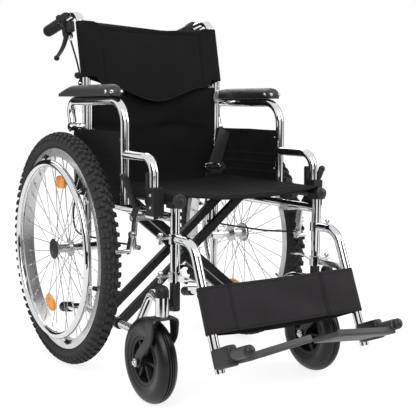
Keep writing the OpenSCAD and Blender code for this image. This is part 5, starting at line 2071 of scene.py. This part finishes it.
@dataclass
class FrameTrim(Sided):
    """Small fittings of one side: hanger hinge, post sleeve, back hinge's knob and plate, cap and screws."""

    post_y: float = -230.0
    foot: Pair = (221.8, 286.0)
    sleeve: float = 11.9
    bore: float = 10.6
    pull: tuple[Triple, Triple] = ((204, 254, 748), (204, 285, 759))
    plate_z: float = 705.0
    plate_size: Pair = (16.0, 22.0)
    socket: Pair = (244.5, -188.0)
    socket_screws: Pair = (452.0, 480.0)
    rail_z: float = 470.0
    knurls: int = 16
    knurl: float = 0.045
    hinges: Pair = (299.0, 385.0)
    lug: Pair = (14.6, 45.0)
    lug_half: float = 7.5
    paddle: tuple[Triple, Triple] = ((-11.5, 9.0, 3.0), (-47.0, 37.0, 17.0))
    paddle_bow: float = 5.0

    def rail_knob(self) -> None:
        """Puts a knurled cap on the front end of the seat rail."""
        cap = []
        for y, r in ((-242, 13), (-242, 14.8), (-243.5, 16), (-250, 16), (-252.6, 14.2), (-253.4, 10.5)):
            ring = []
            for step in range(80):
                turn = math.tau * step / 80
                out = r * (1 + self.knurl * math.cos(self.knurls * turn)) if r > 14 else r
                x, z = TUBE_X + out * math.cos(turn), self.rail_z + out * math.sin(turn)
                ring.append(self.side.at(x, y, z))
            cap.append(ring)
        self.shop.piece(self.side.of("rail_knob"), Form().loft(cap), CLAMP_PLASTIC, "brace_b")

    def hanger_hinge(self) -> None:
        """Gives both hinges of the hanger a lug with a bolt, and the lower one its release paddle."""
        form = Form()
        near, far = self.lug
        for z in self.hinges:
            low = Vector((TUBE_X + near, self.post_y - self.lug_half, z + 1))
            high = Vector((TUBE_X + far, self.post_y + self.lug_half, z + 5))
            form.block(low, high, 1.2)
        form.moved(lambda p: self.side.at(*p))
        bolt = [
            (0, -13), (5.2, -13), (5.2, -7), (3.4, -7), (3.4, 6), (6.2, 6), (6.2, 9), (4, 12.6), (0, 13.4),
        ]
        for z in self.hinges:
            form.turned(bolt, self.side.at(TUBE_X + far - 7, self.post_y, z + 3), UP, 20)
        self.add("hanger_lugs", form, STEEL, "hanger")
        foot = Vector((TUBE_X, self.post_y, self.hinges[0]))
        start, end = (foot + Vector(p) for p in self.paddle)
        wide = (end - start).cross(UP).normalized()
        thick = wide.cross(end - start).normalized()
        sections = ((0, 4, 2), (0.25, 4.4, 2), (0.5, 8.5, 1.8), (0.9, 11.5, 1.6), (1, 9.5, 1.2))
        rings = []
        for share, half, deep in sections:
            centre = start.lerp(end, share) + thick * self.paddle_bow * math.sin(math.pi * share)
            turns = zip(oval(16, 0.5), oval(16))
            ring = [centre + wide * (half * c) + thick * deep * s for (c, _), (_, s) in turns]
            rings.append([self.side.at(*p) for p in ring])
        self.add("hanger_release", Form().loft(rings), CHROME, "hanger")

    def post_sleeve(self) -> None:
        """Slips the black sleeve over the foot of the front post."""
        (low, high), r = self.foot, self.sleeve
        walls = [
            (self.bore, low), (r - 0.6, low), (r, low + 1), (r, high - 2), (r - 0.8, high), (self.bore, high),
        ]
        form = Form().turned(walls, self.side.at(TUBE_X, self.post_y, 0), UP, 36, closed=True)
        self.add("post_sleeve", form, BLACK_PLASTIC, "frame")

    def hinge_knob(self) -> None:
        """Turns the pull knob of the back's hinge."""
        start, end = (self.side.at(*p) for p in self.pull)
        head = ((4, -13), (6.4, -11), (8.6, -6), (8.8, -1), (7, 4), (0, 5.6))
        long = (end - start).length / MM
        knob = [(0, 0), (4, 0), *((r, long + a) for r, a in head)]
        self.add("hinge_knob", Form().turned(knob, start, end - start, 24), BLACK_PLASTIC, "cane")

    def hinge_plate(self) -> None:
        """Presses the half-round plate of the back's hinge."""
        reach, tall = self.plate_size
        turns = [math.pi * step / 24 for step in range(25)]
        rings = []
        for y, share in ((212.6, 0.92), (212.0, 1.0), (209.9, 1.0), (209.2, 0.9)):
            ring = []
            for turn in turns:
                x = TUBE_X - 2 - reach * share * math.sin(turn)
                ring.append(self.side.at(x, y, self.plate_z + tall * share * math.cos(turn)))
            rings.append(ring)
        self.add("hinge_plate", Form().loft(rings), STEEL, "frame")

    def build(self) -> None:
        """Makes every fitting of the side; only the right rail's end has its cap."""
        self.hanger_hinge()
        self.post_sleeve()
        self.hinge_knob()
        if self.side is Side.RIGHT:
            self.rail_knob()
        self.hinge_plate()
        out = ACROSS * self.side.value
        spots = [(self.side.at(*self.socket, z), out) for z in self.socket_screws]
        self.shop.screws(self.side.of("socket_screws"), spots, 4.2 * MM, STEEL, self.side.of("frame"))


CAD_FINISHES: dict[str, Finish] = {
    "side_frame": CHROME, "rear_axle": STEEL, "frame_fittings": BLACK_PLASTIC, "lock_bracket": STEEL,
    "arm_tube": CHROME, "arm_latch": BLACK_PLASTIC, "back_cane": CHROME, "brake_bracket": BLACK_PLASTIC,
    "rim": ALLOY, "spokes": SPOKE_STEEL, "hub": ALLOY, "handrim": CHROME,
    "caster_hub": BLACK_PLASTIC, "hanger": CHROME, "lock_lever": BLACK_PLASTIC,
    "lock_shoe": STEEL, "brace_to_left_rail": BLACK_PAINT, "brace_to_right_rail": BLACK_PAINT,
    "brace_bolts": STEEL,
}


def paint_frame(nodes: dict[str, bpy.types.Object]) -> None:
    """Gives each carried-over CAD node its finish.

    Args:
        nodes: CAD node name to object.
    """
    for name, node in nodes.items():
        kind = name.removeprefix("right_").removeprefix("left_")
        finish = CAD_FINISHES.get(kind)
        if finish is None:
            continue
        node.data.materials.clear()
        node.data.materials.append(finish.material())
        LOG.info("%s painted %s", name, finish.name)


def main() -> None:
    """Loads the frame and dresses it."""
    logging.basicConfig(level=logging.INFO, format="%(message)s")
    for kind in ("objects", "meshes", "cameras", "lights"):
        store = getattr(bpy.data, kind)
        for item in list(store):
            store.remove(item)
    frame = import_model()
    Studio().build()
    shop = Workshop()
    for side in Side:
        BrakeCable(shop, side).build()
    paint_frame(frame["nodes"])
    for side in Side:
        for group in (RearWheel, Caster, Armrest, Handle, FootRest, LapBelt, FrameTrim):
            group(shop, side).build()
    for group in (Seat, Back, CalfStrap):
        group(shop).build()


if __name__ == "__main__":
    main()
